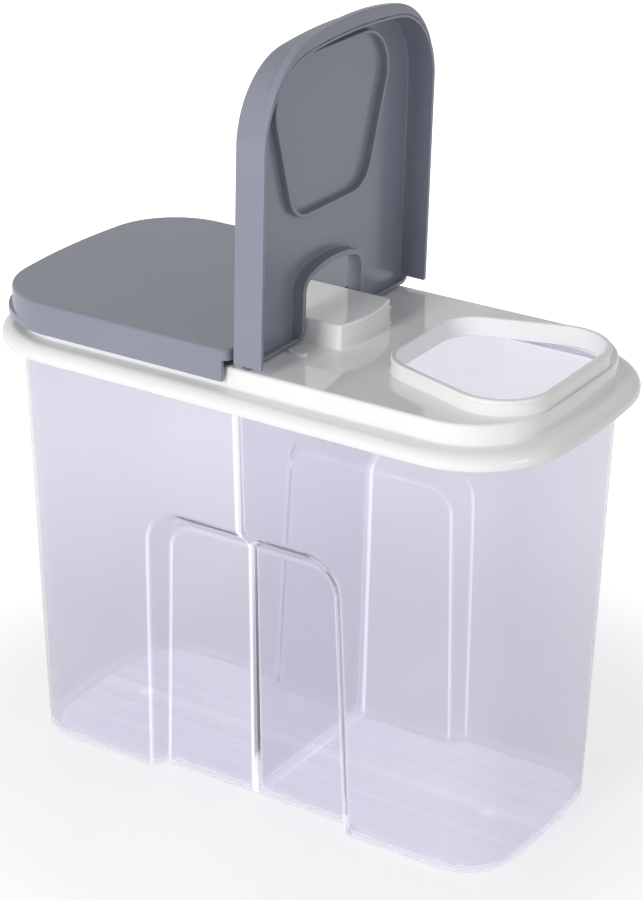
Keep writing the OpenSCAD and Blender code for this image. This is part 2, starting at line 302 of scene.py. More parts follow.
class Shell:
    """Points and faces of one piece in millimetres, until it becomes a mesh."""

    def __init__(self) -> None:
        """Starts empty."""
        self._blocks: list[Ring] = []
        self._count = 0
        self._faces: list[tuple[int, ...]] = []

    def add(self, points: Ring) -> Ring:
        """Adds points.

        Args:
            points: Three coordinates for each point, one row each.

        Returns:
            The points' numbers.
        """
        self._blocks.append(np.asarray(points, dtype=float))
        numbers = np.arange(self._count, self._count + len(points))
        self._count += len(points)
        return numbers

    def ring(self, outline: Ring, level: float | Ring) -> Ring:
        """Adds an outline at a level, or at a level for each point, and returns its numbers."""
        levels = np.broadcast_to(np.asarray(level, dtype=float), (len(outline),))
        return self.add(np.column_stack((outline, levels)))

    def upright(self, outline: Ring, y: float) -> Ring:
        """Adds an outline that stands upright at a distance along Y, and returns its numbers."""
        return self.add(np.column_stack((outline[:, 0], np.full(len(outline), y), outline[:, 1])))

    def bridge(self, low: Ring, high: Ring) -> None:
        """Joins two closed rings that have the same number of points."""
        corners = (low, np.roll(low, -1), np.roll(high, -1), high)
        self._faces.extend(zip(*(numbers.tolist() for numbers in corners)))

    def stack(self, rings: Sequence[Ring]) -> None:
        """Joins a stack of rings, each to the next."""
        for low, high in zip(rings, rings[1:]):
            self.bridge(low, high)

    def plug(self, rings: Sequence[Ring]) -> None:
        """Joins a stack of rings and closes both ends of it.

        Args:
            rings: Numbers of the points of each ring.
        """
        self.stack(rings)
        self.cap(rings[0])
        self.cap(rings[-1])

    def sheet(self, edge: Ring, holes: Sequence[Ring] = ()) -> None:
        """Fills a flat ring, leaving holes.

        Args:
            edge: Numbers of the outer ring's points.
            holes: Numbers of the points of each hole.
        """
        points = np.vstack(self._blocks)
        loops = [edge, *holes]
        flat = [[Vector((points[i][0], points[i][1], 0)) for i in loop] for loop in loops]
        numbers = np.concatenate(loops).tolist()
        triangles = tessellate_polygon(flat)
        self._faces.extend(tuple(numbers[i] for i in triangle) for triangle in triangles)

    def cap(self, ring: Ring) -> None:
        """Closes a ring with one flat face."""
        self._faces.append(tuple(ring.tolist()))

    def make(self, name: str, place: Callable[[Ring], Ring] | None = None) -> bpy.types.Object:
        """Turns the shell into an object with its normals pointing outwards.

        Args:
            name: Name of the piece.
            place: Moves the points to where the piece goes, in millimetres.

        Returns:
            The object, at the origin, with its place in its mesh.
        """
        points = np.vstack(self._blocks)
        if place:
            points = place(points)
        mesh = bpy.data.meshes.new(name)
        mesh.from_pydata((points * MM).tolist(), [], self._faces)
        clean(mesh)
        return stand(name, mesh)


def clean(mesh: bpy.types.Mesh) -> None:
    """Merges doubles, drops empty faces, points the normals outwards and shades smoothly.

    Args:
        mesh: The mesh.
    """
    work = bmesh.new()
    work.from_mesh(mesh)
    bmesh.ops.remove_doubles(work, verts=work.verts, dist=MERGE_M)
    bmesh.ops.dissolve_degenerate(work, edges=work.edges, dist=EMPTY_M)
    bmesh.ops.recalc_face_normals(work, faces=work.faces)
    for face in work.faces:
        face.smooth = True
    work.to_mesh(mesh)
    work.free()


@dataclass(frozen=True)
class Softening:
    """Evens the shading of a piece and, where its bevel is not 0, rounds its sharp edges."""

    bevel: float = 0.0
    segments: int = 2
    sharp: float = 38.0
    weight: int = 60

    def apply(self, piece: bpy.types.Object) -> None:
        """Puts the modifiers on a piece.

        Args:
            piece: The piece.
        """
        if self.bevel:
            edge = piece.modifiers.new("soft edge", "BEVEL")
            edge.width = self.bevel * MM
            edge.segments = self.segments
            edge.limit_method = "ANGLE"
            edge.angle_limit = math.radians(self.sharp)
            edge.use_clamp_overlap = True
        even = piece.modifiers.new("even shading", "WEIGHTED_NORMAL")
        even.keep_sharp = True
        even.weight = self.weight


@dataclass(frozen=True)
class EdgeLight:
    """How strongly a painted highlight shows at each point's edge, for a finish whose edges glow
    though they are no lamp.

    A bend, in radians per millimetre, starts to count at the least and gives the weight at the
    most. A painted line of full strength runs down the middle of each long side, of so many
    millimetres half width, on the faces that look to the front or the back.
    """

    least: float = 0.2
    most: float = 0.6
    weight: float = 0.6
    seam: float = 1.4
    facing: float = 0.7
    least_reach: float = 0.25

    def mark(self, piece: bpy.types.Object) -> None:
        """Writes the painted highlight's strength as an attribute of the points.

        Args:
            piece: The piece.
        """
        work = bmesh.new()
        work.from_mesh(piece.data)
        work.verts.ensure_lookup_table()
        bend = np.zeros(len(work.verts))
        for edge in work.edges:
            if len(edge.link_faces) == 2:
                middles = [face.calc_center_median() for face in edge.link_faces]
                reach = (middles[0] - middles[1]).length / MM
                tight = edge.calc_face_angle(0.0) / max(reach, self.least_reach)
                for point in edge.verts:
                    bend[point.index] = max(bend[point.index], tight)
        across = np.array([abs(point.co.x) for point in work.verts])
        facing = np.array([abs(point.normal.y) for point in work.verts])
        work.free()
        # Painted highlight strength: more where the surface bends tightly, full along the divider's
        # seam.
        share = np.clip((bend - self.least) / (self.most - self.least), 0, 1) * self.weight
        share[(across < self.seam * MM) & (facing > self.facing)] = 1.0
        marks = piece.data.attributes.new(PAINTED_HIGHLIGHT_ATTRIBUTE, "FLOAT", "POINT")
        marks.data.foreach_set("value", share.astype(np.float32))


def dress(piece: bpy.types.Object, material: bpy.types.Material, body: str) -> None:
    """Gives a piece its material and its body.

    Args:
        piece: The piece.
        material: Its finish.
        body: The body that it moves with.
    """
    piece.data.materials.clear()
    piece.data.materials.append(material)
    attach(piece, body)
    LOG.info("%s rides on %s", piece.name, body)


# ---------- nodes ----------


def add_node(
    tree: bpy.types.NodeTree,
    kind: str,
    values: dict[str | int, object] | None = None,
    **settings: object,
) -> bpy.types.Node:
    """Adds a node to a tree.

    Args:
        tree: The tree.
        kind: Type of the node.
        values: Values of its inputs, by name or number.
        **settings: Its own properties.

    Returns:
        The node.
    """
    made = tree.nodes.new(kind)
    for key, value in settings.items():
        setattr(made, key, value)
    for key, value in (values or {}).items():
        made.inputs[key].default_value = value
    return made


class PartTree:
    """A geometry node tree with named inputs, built link by link."""

    def __init__(self, name: str, sockets: Sequence[tuple[str, str]]) -> None:
        """Makes the tree with a geometry input and output and further named inputs.

        Args:
            name: Name of the tree.
            sockets: Name and socket type of each further input.
        """
        self.tree = bpy.data.node_groups.new(name, "GeometryNodeTree")
        face = self.tree.interface
        face.new_socket("Geometry", in_out="INPUT", socket_type="NodeSocketGeometry")
        face.new_socket("Geometry", in_out="OUTPUT", socket_type="NodeSocketGeometry")
        for label, kind in sockets:
            face.new_socket(label, in_out="INPUT", socket_type=kind)
        self.inputs = self.tree.nodes.new("NodeGroupInput").outputs
        self.end = self.tree.nodes.new("NodeGroupOutput")

    def link(self, source: Socket, target: Socket) -> None:
        """Links two sockets."""
        self.tree.links.new(source, target)

    def finish(self, geometry: Socket) -> None:
        """Ends the tree in Realize Instances and Set Material.

        Args:
            geometry: What the tree has made.
        """
        real = add_node(self.tree, "GeometryNodeRealizeInstances")
        paint = add_node(self.tree, "GeometryNodeSetMaterial")
        self.link(geometry, real.inputs[0])
        self.link(real.outputs[0], paint.inputs["Geometry"])
        self.link(self.inputs["Finish"], paint.inputs["Material"])
        self.link(paint.outputs[0], self.end.inputs[0])

    def run(
        self, carrier: bpy.types.Object, name: str, values: dict[str, object]
    ) -> bpy.types.Object:
        """Evaluates the tree on a carrier and keeps the result as a plain mesh.

        Args:
            carrier: Object whose mesh goes into the tree. It is removed.
            name: Name of the new piece.
            values: A value for each named input.

        Returns:
            The new piece.
        """
        modifier = carrier.modifiers.new("make", "NODES")
        modifier.node_group = self.tree
        for item in self.tree.interface.items_tree:
            if item.item_type == "SOCKET" and item.in_out == "INPUT" and item.name in values:
                modifier[item.identifier] = values[item.name]
        bpy.context.view_layer.update()
        graph = bpy.context.evaluated_depsgraph_get()
        mesh = bpy.data.meshes.new_from_object(carrier.evaluated_get(graph), depsgraph=graph)
        carrier.modifiers.remove(modifier)
        bpy.data.objects.remove(carrier)
        clean(mesh)
        mesh.name = name
        return stand(name, mesh)


class Repeater:
    """Sets copies of a small part on marked points, each mirrored as its point says."""

    def __init__(self) -> None:
        """Builds the tree."""
        made = PartTree(
            "set parts on points",
            [
                ("Part", "NodeSocketObject"),
                ("Size", "NodeSocketFloat"),
                ("Finish", "NodeSocketMaterial"),
            ],
        )
        tree = made.tree
        part = add_node(tree, "GeometryNodeObjectInfo", transform_space="ORIGINAL")
        points = add_node(tree, "GeometryNodeMeshToPoints")
        copies = add_node(tree, "GeometryNodeInstanceOnPoints")
        mirror = add_node(
            tree, "GeometryNodeInputNamedAttribute", {"Name": "mirror"}, data_type="FLOAT_VECTOR"
        )
        sized = add_node(tree, "ShaderNodeVectorMath", operation="SCALE")
        made.link(made.inputs["Part"], part.inputs["Object"])
        made.link(made.inputs["Geometry"], points.inputs["Mesh"])
        made.link(points.outputs[0], copies.inputs["Points"])
        made.link(part.outputs["Geometry"], copies.inputs["Instance"])
        made.link(mirror.outputs[0], sized.inputs[0])
        made.link(made.inputs["Size"], sized.inputs["Scale"])
        made.link(sized.outputs[0], copies.inputs["Scale"])
        made.finish(copies.outputs[0])
        self.nodes = made

    def place(
        self,
        name: str,
        part: bpy.types.Object,
        spots: Sequence[tuple[Place, Place]],
        material: bpy.types.Material,
    ) -> bpy.types.Object:
        """Sets a part on its spots.

        Args:
            name: Name of the new piece.
            part: The part, drawn round the origin. It is removed.
            spots: Place in millimetres and mirroring factors of each copy.
            material: Finish of the copies.

        Returns:
            All copies as one piece.
        """
        mesh = bpy.data.meshes.new(name)
        mesh.from_pydata([tuple(v * MM for v in place) for place, _ in spots], [], [])
        mark = mesh.attributes.new("mirror", "FLOAT_VECTOR", "POINT")
        for i, (_, factors) in enumerate(spots):
            mark.data[i].vector = factors
        values = {"Part": part, "Size": 1.0, "Finish": material}
        piece = self.nodes.run(stand(name, mesh), name, values)
        bpy.data.objects.remove(part)
        return piece


class WallSweep:
    """Carries an upright wall with rounded edges along a closed plan curve."""

    def __init__(self, edge_steps: int = 3) -> None:
        """Builds the tree.

        Args:
            edge_steps: Segments across each rounded edge.
        """
        made = PartTree(
            "wall along a plan",
            [
                ("Thickness", "NodeSocketFloat"),
                ("Height", "NodeSocketFloat"),
                ("Edge", "NodeSocketFloat"),
                ("Finish", "NodeSocketMaterial"),
            ],
        )
        tree = made.tree
        path = add_node(tree, "GeometryNodeMeshToCurve")
        upright = add_node(tree, "GeometryNodeSetCurveNormal", mode="Z_UP")
        section = add_node(tree, "GeometryNodeCurvePrimitiveQuadrilateral", mode="RECTANGLE")
        edges = add_node(tree, "GeometryNodeFilletCurve", mode="POLY")
        edges.inputs["Count"].default_value = edge_steps
        sweep = add_node(tree, "GeometryNodeCurveToMesh")
        made.link(made.inputs["Geometry"], path.inputs["Mesh"])
        made.link(path.outputs[0], upright.inputs["Curve"])
        made.link(made.inputs["Thickness"], section.inputs["Width"])
        made.link(made.inputs["Height"], section.inputs["Height"])
        made.link(section.outputs[0], edges.inputs["Curve"])
        made.link(made.inputs["Edge"], edges.inputs["Radius"])
        made.link(upright.outputs[0], sweep.inputs["Curve"])
        made.link(edges.outputs[0], sweep.inputs["Profile Curve"])
        made.finish(sweep.outputs[0])
        self.nodes = made


@dataclass
class Workshop:
    """The node trees that the mouldings use."""

    repeater: Repeater = field(default_factory=Repeater)
    sweep: WallSweep = field(default_factory=WallSweep)


# ---------- finishes ----------


def either(tree: bpy.types.NodeTree, one: Socket, other: Socket) -> Socket:
    """Joins two masks.

    Args:
        tree: The tree that they are in.
        one: One mask.
        other: The other mask.

    Returns:
        The greater of the two at each place.
    """
    both = add_node(tree, "ShaderNodeMath", operation="MAXIMUM")
    tree.links.new(one, both.inputs[0])
    tree.links.new(other, both.inputs[1])
    return both.outputs[0]


def mix_colours(tree: bpy.types.NodeTree, share: Socket, one: Colour, other: Colour) -> Socket:
    """Mixes two colours.

    Args:
        tree: The material's tree.
        share: Mask that is 0 where the first colour shows and 1 where the other does.
        one: The first colour.
        other: The other colour.

    Returns:
        Socket of the mixed colour.
    """
    colours = {"A": (*one, 1.0), "B": (*other, 1.0)}
    mix = add_node(tree, "ShaderNodeMix", colours, data_type="RGBA")
    tree.links.new(share, mix.inputs["Factor"])
    return mix.outputs["Result"]


class Effect(Enum):
    """Shader node groups that the finishes share."""

    GRAIN = "moulded grain"
    WEAR = "handling wear"
    FLOW = "flow of the melt"


def group_tree(
    effect: Effect, inputs: dict[str, float], outputs: Sequence[str]
) -> bpy.types.NodeTree:
    """Starts a shader group with a Coordinates input and named value inputs.

    Args:
        effect: Which effect the group is.
        inputs: Name and default of each value input.
        outputs: Name of each output, which gives a value.

    Returns:
        The group's tree, with its input and output nodes in it.
    """
    tree = bpy.data.node_groups.new(effect.value, "ShaderNodeTree")
    face = tree.interface
    face.new_socket("Coordinates", in_out="INPUT", socket_type="NodeSocketVector")
    for label, value in inputs.items():
        made = face.new_socket(label, in_out="INPUT", socket_type="NodeSocketFloat")
        made.default_value = value
    for label in outputs:
        face.new_socket(label, in_out="OUTPUT", socket_type="NodeSocketFloat")
    tree.nodes.new("NodeGroupInput").name = "start"
    tree.nodes.new("NodeGroupOutput").name = "end"
    return tree


@dataclass
class Effects:
    """Builds the shared shader groups once and places them in materials."""

    grain_detail: float = 3.0
    wave_scale: float = 24.0
    wave_detail: float = 2.0
    hair_detail: float = 1.0
    hair_full: float = 0.78
    hair_lays: tuple[tuple[float, Place], ...] = (
        (24.0, (14.0, 520.0, 520.0)),
        (-61.0, (460.0, 12.0, 460.0)),
    )
    cloud_detail: float = 2.0
    cloud_twist: float = 0.6

    def __post_init__(self) -> None:
        """Builds the three groups."""
        self._trees = {
            Effect.GRAIN: self._grain(),
            Effect.WEAR: self._wear(),
            Effect.FLOW: self._flow(),
        }

    def place(
        self, tree: bpy.types.NodeTree, effect: Effect, coordinates: Socket, **values: float
    ) -> bpy.types.Node:
        """Places an effect in a material.

        Args:
            tree: The material's tree.
            effect: Which effect.
            coordinates: Socket that gives the place on the piece.
            **values: The group's own values, by input name.

        Returns:
            The group node.
        """
        made = add_node(tree, "ShaderNodeGroup", node_tree=self._trees[effect])
        tree.links.new(coordinates, made.inputs["Coordinates"])
        for label, value in values.items():
            made.inputs[label].default_value = value
        return made

    def _grain(self) -> bpy.types.NodeTree:
        """Fine skin of the mould.

        Returns:
            A group that gives a height for the bump and a roughness that wanders a little.
        """
        tree = group_tree(
            Effect.GRAIN,
            {"Scale": 900.0, "Roughness": 0.2, "Variation": 0.05, "Waviness": 0.35},
            ("Height", "Roughness"),
        )
        link = tree.links.new
        start, end = tree.nodes["start"].outputs, tree.nodes["end"].inputs
        fine = add_node(tree, "ShaderNodeTexNoise", {"Detail": self.grain_detail})
        waves = {"Scale": self.wave_scale, "Detail": self.wave_detail}
        wide = add_node(tree, "ShaderNodeTexNoise", waves)
        link(start["Coordinates"], fine.inputs["Vector"])
        link(start["Scale"], fine.inputs["Scale"])
        link(start["Coordinates"], wide.inputs["Vector"])
        blend = add_node(tree, "ShaderNodeMix", data_type="FLOAT")
        link(start["Waviness"], blend.inputs["Factor"])
        link(fine.outputs["Fac"], blend.inputs["A"])
        link(wide.outputs["Fac"], blend.inputs["B"])
        link(blend.outputs["Result"], end["Height"])
        centred = add_node(tree, "ShaderNodeMath", {1: 0.5}, operation="SUBTRACT")
        spread = add_node(tree, "ShaderNodeMath", operation="MULTIPLY_ADD")
        link(wide.outputs["Fac"], centred.inputs[0])
        link(centred.outputs[0], spread.inputs[0])
        link(start["Variation"], spread.inputs[1])
        link(start["Roughness"], spread.inputs[2])
        link(spread.outputs[0], end["Roughness"])
        return tree

    def _wear(self) -> bpy.types.NodeTree:
        """Hairline rubs from wiping and stacking.

        Returns:
            A group that gives a mask of the rubs and a roughness with them in it.
        """
        tree = group_tree(
            Effect.WEAR,
            {"Roughness": 0.2, "Amount": 0.1, "Density": 0.62},
            ("Mask", "Roughness"),
        )
        link = tree.links.new
        start, end = tree.nodes["start"].outputs, tree.nodes["end"].inputs
        masks = []
        for turn, stretch in self.hair_lays:
            turned = {"Rotation": (0.0, 0.0, math.radians(turn)), "Scale": stretch}
            lay = add_node(tree, "ShaderNodeMapping", turned)
            noise = {"Scale": 1.0, "Detail": self.hair_detail}
            hair = add_node(tree, "ShaderNodeTexNoise", noise)
            pick = add_node(tree, "ShaderNodeMapRange", {"From Max": self.hair_full})
            link(start["Coordinates"], lay.inputs["Vector"])
            link(lay.outputs[0], hair.inputs["Vector"])
            link(hair.outputs["Fac"], pick.inputs["Value"])
            link(start["Density"], pick.inputs["From Min"])
            masks.append(pick.outputs["Result"])
        rubs = either(tree, *masks)
        rough = add_node(tree, "ShaderNodeMath", operation="MULTIPLY_ADD")
        link(rubs, rough.inputs[0])
        link(start["Amount"], rough.inputs[1])
        link(start["Roughness"], rough.inputs[2])
        link(rubs, end["Mask"])
        link(rough.outputs[0], end["Roughness"])
        return tree

    def _flow(self) -> bpy.types.NodeTree:
        """Slow clouding of the colour, as the melt leaves it.

        Returns:
            A group that gives a mask of the cloud, from 0 to 1.
        """
        tree = group_tree(Effect.FLOW, {"Scale": 9.0, "Low": 0.35, "High": 0.65}, ("Cloud",))
        link = tree.links.new
        start, end = tree.nodes["start"].outputs, tree.nodes["end"].inputs
        noise = {"Detail": self.cloud_detail, "Distortion": self.cloud_twist}
        cloud = add_node(tree, "ShaderNodeTexNoise", noise)
        ease = add_node(tree, "ShaderNodeMapRange", interpolation_type="SMOOTHSTEP")
        link(start["Coordinates"], cloud.inputs["Vector"])
        link(start["Scale"], cloud.inputs["Scale"])
        link(cloud.outputs["Fac"], ease.inputs["Value"])
        link(start["Low"], ease.inputs["From Min"])
        link(start["High"], ease.inputs["From Max"])
        link(ease.outputs["Result"], end["Cloud"])
        return tree


@dataclass(frozen=True, kw_only=True)
class MouldedPlastic:
    """A moulded plastic: two close shades, a gloss, a grain and a little wear."""

    name: str
    shade: Colour
    shade_dense: Colour
    roughness: float
    specular: float = 0.5
    variation: float = 0.04
    waviness: float = 0.35
    grain_scale: float = 900.0
    grain_depth: float = 0.01
    wear: float = 0.08
    wear_density: float = 0.62
    cloud_scale: float = 9.0

    def make(self, effects: Effects) -> bpy.types.Material:
        """Builds the material.

        Args:
            effects: The shared shader groups.

        Returns:
            The material.
        """
        material = bpy.data.materials.new(self.name)
        material.use_nodes = True
        tree = material.node_tree
        link = tree.links.new
        body = tree.nodes["Principled BSDF"].inputs
        body["Specular IOR Level"].default_value = self.specular
        place = add_node(tree, "ShaderNodeTexCoord").outputs["Object"]
        grain = effects.place(
            tree,
            Effect.GRAIN,
            place,
            Scale=self.grain_scale,
            Roughness=self.roughness,
            Variation=self.variation,
            Waviness=self.waviness,
        )
        wear = effects.place(
            tree, Effect.WEAR, place, Amount=self.wear, Density=self.wear_density
        )
        flow = effects.place(tree, Effect.FLOW, place, Scale=self.cloud_scale)
        shade = mix_colours(tree, flow.outputs["Cloud"], self.shade, self.shade_dense)
        bump = add_node(tree, "ShaderNodeBump", {"Distance": self.grain_depth * MM})
        link(grain.outputs["Roughness"], wear.inputs["Roughness"])
        link(grain.outputs["Height"], bump.inputs["Height"])
        link(wear.outputs["Roughness"], body["Roughness"])
        link(shade, body["Base Color"])
        link(bump.outputs["Normal"], body["Normal"])
        return material


@dataclass(frozen=True, kw_only=True)
class ClearPlastic(MouldedPlastic):
    """A clear moulded plastic with a faint milky haze, through which lamps shine, and a painted
    highlight that glows along its marked edges.
    """

    haze: float
    ior: float
    coat: float
    shadow_tint: Colour
    edge_glow: Colour
    glow: float

    def make(self, effects: Effects) -> bpy.types.Material:
        """Builds the material.

        Args:
            effects: The shared shader groups.

        Returns:
            The material.
        """
        material = super().make(effects)
        tree = material.node_tree
        link = tree.links.new
        plastic = tree.nodes["Principled BSDF"]
        for label, value in (
            ("IOR", self.ior),
            ("Transmission Weight", 1.0 - self.haze),
            ("Coat Weight", self.coat),
            ("Coat Roughness", self.roughness),
            ("Emission Strength", self.glow),
        ):
            plastic.inputs[label].default_value = value
        # Emission along the marked edges: a painted highlight, not a lamp.
        edge = add_node(tree, "ShaderNodeAttribute", attribute_name=PAINTED_HIGHLIGHT_ATTRIBUTE)
        painted_highlight = mix_colours(tree, edge.outputs["Fac"], BLACK, self.edge_glow)
        link(painted_highlight, plastic.inputs["Emission Color"])
        clear = {"Color": (*self.shadow_tint, 1.0)}
        through = add_node(tree, "ShaderNodeBsdfTransparent", clear)
        path = add_node(tree, "ShaderNodeLightPath")
        mix = add_node(tree, "ShaderNodeMixShader")
        link(path.outputs["Is Shadow Ray"], mix.inputs["Fac"])
        link(plastic.outputs[0], mix.inputs[1])
        link(through.outputs[0], mix.inputs[2])
        link(mix.outputs[0], tree.nodes["Material Output"].inputs["Surface"])
        return material


WHITE = MouldedPlastic(
    name="white plastic",
    shade=(0.89, 0.89, 0.885),
    shade_dense=(0.87, 0.87, 0.87),
    roughness=0.05,
    specular=0.85,
    variation=0.02,
    grain_depth=0.003,
    wear=0.015,
)
GREY = MouldedPlastic(
    name="grey plastic",
    shade=(0.258, 0.274, 0.34),
    shade_dense=(0.246, 0.262, 0.326),
    roughness=0.24,
    variation=0.03,
    grain_depth=0.012,
    wear=0.012,
)
CLEAR = ClearPlastic(
    name="clear plastic",
    shade=(0.853, 0.843, 0.91),
    shade_dense=(0.833, 0.823, 0.895),
    roughness=0.04,
    variation=0.03,
    waviness=0.7,
    grain_scale=420.0,
    grain_depth=0.012,
    wear=0.07,
    wear_density=0.66,
    cloud_scale=7.0,
    haze=0.08,
    ior=1.12,
    coat=0.7,
    shadow_tint=(0.9, 0.895, 0.92),
    # Emission colour and strength of the painted highlight along the tub's edges and divider seam.
    edge_glow=(0.94, 0.94, 1.0),
    glow=0.3,
)


# ---------- tub ----------


@dataclass
class Tub:
    """Clear body with a moulded-in partition and a grip recess in each long side."""

    material: bpy.types.Material
    wall: float = 1.5
    floor: float = 1.8
    side_draft: float = 2.4
    end_draft: float = 1.2
    wall_inset: float = 9.3
    corner: float = 25.0
    foot_radius: float = 3.0
    floor_radius: float = 4.0
    rim_drop: float = 3.4
    rim_wall: float = 1.6
    rim_inset: float = 3.3
    rim_lip: float = 1.5
    rim_round: float = 0.8
    lip_round: float = 0.3
    lip_inner_round: float = 0.2
    divider_foot: float = 3.3
    divider_top: float = 2.0
    divider_drop: float = 0.6
    divider_fillet: float = 0.9
    recess_start: float = -1.0
    recess_height: float = 111.0
    recess_foot: float = 84.0
    recess_top: float = 76.0
    recess_radius: float = 12.0
    recess_depth: float = 6.5
    recess_lean: float = 1.5
    recess_side: float = 0.6
    recess_ledge: float = 0.95
    recess_round: float = 1.5
    gate: tuple[float, float] = (84.0, -2.0)
    gate_radius: float = 3.0
    edge_light: EdgeLight = EdgeLight()

    # How far out of the wall and below the rim's flange, how far out of a compartment's wall and
    # below the rim, and how far outside the gate's radius and above the floor.
    flange_fillet: Profile = ((0.0, 1.0), (0.3, 0.3), (1.0, 0.0))
    mouth_round: Profile = ((0.0, 0.6), (0.15, 0.15), (0.5, 0.0))
    gate_mark: Profile = (
        (0.3, 0.0), (0.08, 0.06), (0.0, 0.22), (-0.2, 0.3), (-2.0, 0.3), (-2.3, 0.12)
    )

    # How closely the rings and their points stand.
    corner_steps: int = 14
    bow_steps: int = 16
    foot_steps: int = 7
    rim_steps: int = 4
    fillet_steps: int = 4
    divider_points: int = 7
    first_level: float = 6.5
    ledge_level: float = 94.0
    last_level: float = 172.0
    ledge_margins: tuple[float, float] = (-1.5, 2.0)
    level_counts: tuple[int, ...] = (12, 22, 22, 7)
    seam_columns: tuple[float, ...] = (1.2, 2.0)
    edge_columns: tuple[float, ...] = (-15.0, -1.2, 1.0)
    brow_columns: tuple[float, ...] = (-1.0, 1.4)
    column_counts: tuple[int, ...] = (2, 2, 7, 18, 6, 4, 6, 7)
    search: tuple[float, float] = (-5.0, 26.0)
    search_rounds: int = 26

    def plan(self, level: float, skin: float) -> BowedPlan:
        """The outside's outline without the recess.

        Args:
            level: Level of the outline.
            skin: How far it is drawn in.

        Returns:
            The outline.
        """
        below = KEEPER.rim - level
        lean = below * math.tan(math.radians(self.end_draft))
        side_lean = below * math.tan(math.radians(self.side_draft))
        length = KEEPER.half_length - self.wall_inset - lean - skin
        width = KEEPER.half_width - self.wall_inset - side_lean - skin
        bow = KEEPER.bow - self.wall_inset
        return BowedPlan(length, width, self.corner - lean - skin, bow)

    def recess_full(self, level: float) -> float:
        """Depth of the recess below the wall's face at a level."""
        grow = math.tan(math.radians(self.side_draft)) - math.tan(math.radians(self.recess_lean))
        return self.recess_depth + level * grow

    def recess_edge(self, level: float, skin: float) -> float:
        """Half width of the recess's floor.

        Args:
            level: Level at which it is wanted.
            skin: How far the face lies inside the outer one.

        Returns:
            The half width.
        """
        straight = self.recess_height - self.recess_radius - self.recess_start
        share = min(max((level - self.recess_start) / straight, 0.0), 1.0)
        half = self.recess_foot / 2 + share * (self.recess_top - self.recess_foot) / 2
        return half + self.lead(self.recess_side, skin)

    @staticmethod
    def lead(slope: float, skin: float) -> float:
        """Sideways growth of a sloping face when it and the floor it meets move by a skin."""
        return skin * (math.sqrt(1 + slope * slope) - slope)

    def push(self, across: Ring, level: float, skin: float) -> Ring:
        """How far the recess carries the wall inwards.

        The recess's outline grows from its floor outwards, so the growth whose outline passes
        through each point is searched for by halving, and then rounded off at both ends.

        Args:
            across: Distances from the middle line, at one level.
            level: The level.
            skin: Thickness by which the face lies inside the outer one.

        Returns:
            The distance at each point.
        """
        across = np.abs(across)
        full = self.recess_full(level)
        side = self.lead(self.recess_side, skin)
        ledge = self.lead(self.recess_ledge, skin)
        low, high = (np.full(across.shape, end) for end in self.search)
        for _ in range(self.search_rounds):
            out = (low + high) / 2
            top = self.recess_height + ledge + self.recess_ledge * out
            radius = self.recess_radius + out / 2
            half = self.recess_top / 2 + side + self.recess_side * out
            foot = half + (self.recess_foot - self.recess_top) / 2
            straight = top - radius - self.recess_start
            share = np.clip((level - self.recess_start) / straight, 0, 1)
            flat = np.maximum(across - (foot + (half - foot) * share), level - top)
            over_x = across - (half - radius)
            over_z = level - (top - radius)
            curved = np.hypot(over_x, over_z) - radius
            outside = np.where((over_x > 0) & (over_z > 0), curved, flat) > 0
            low = np.where(outside, out, low)
            high = np.where(outside, high, out)
        out = soft_min(soft_max(high, 0.0, self.recess_round), full, self.recess_round)
        return full - out

    def side_columns(self, level: float, skin: float, start: float, end: float) -> Ring:
        """Distances from the middle line at which a long side has its columns of points.

        Args:
            level: Level of the ring.
            skin: Skin of the ring.
            start: First distance.
            end: Last distance, where the corner starts.

        Returns:
            The distances, close together where the recess's edge runs.
        """
        level = min(level, self.recess_height)
        edge = self.recess_edge(level, skin)
        brow = edge + self.recess_side * self.recess_full(level)
        keys = [start]
        for base, steps in (
            (start, self.seam_columns),
            (edge, self.edge_columns),
            (brow, self.brow_columns),
        ):
            keys += [base + step for step in steps]
        return spaced([*keys, end], self.column_counts)

    def outer_ring(
        self,
        shell: Shell,
        level: float,
        skin: float,
        recessed: bool = True,
        plan: BowedPlan | None = None,
    ) -> Ring:
        """Adds a ring of the outside.

        Args:
            shell: Where the ring goes.
            level: Its level.
            skin: How far it lies inside the outer face.
            recessed: Whether the recess cuts into it.
            plan: Its outline, where that isn't the wall's own.

        Returns:
            The numbers of the ring's points.
        """
        plan = plan or self.plan(level, skin)
        end = plan.end(self.corner_steps, self.bow_steps)
        columns = self.side_columns(level, skin, 0.0, end[0][0])
        across = np.concatenate((-columns[:0:-1], columns))[1:-1]
        depth = self.push(across, level, skin) if recessed else 0.0
        front = np.column_stack((across, np.full(across.shape, depth - plan.half_width)))
        return shell.ring(np.vstack((front, end, -front, -end)), level)

    def rim_ring(self, shell: Shell, level: float, inset: float) -> Ring:
        """Adds a ring of the rim, inset from the lid's outline."""
        return self.outer_ring(shell, level, 0.0, recessed=False, plan=LID_PLAN.drawn_in(inset))

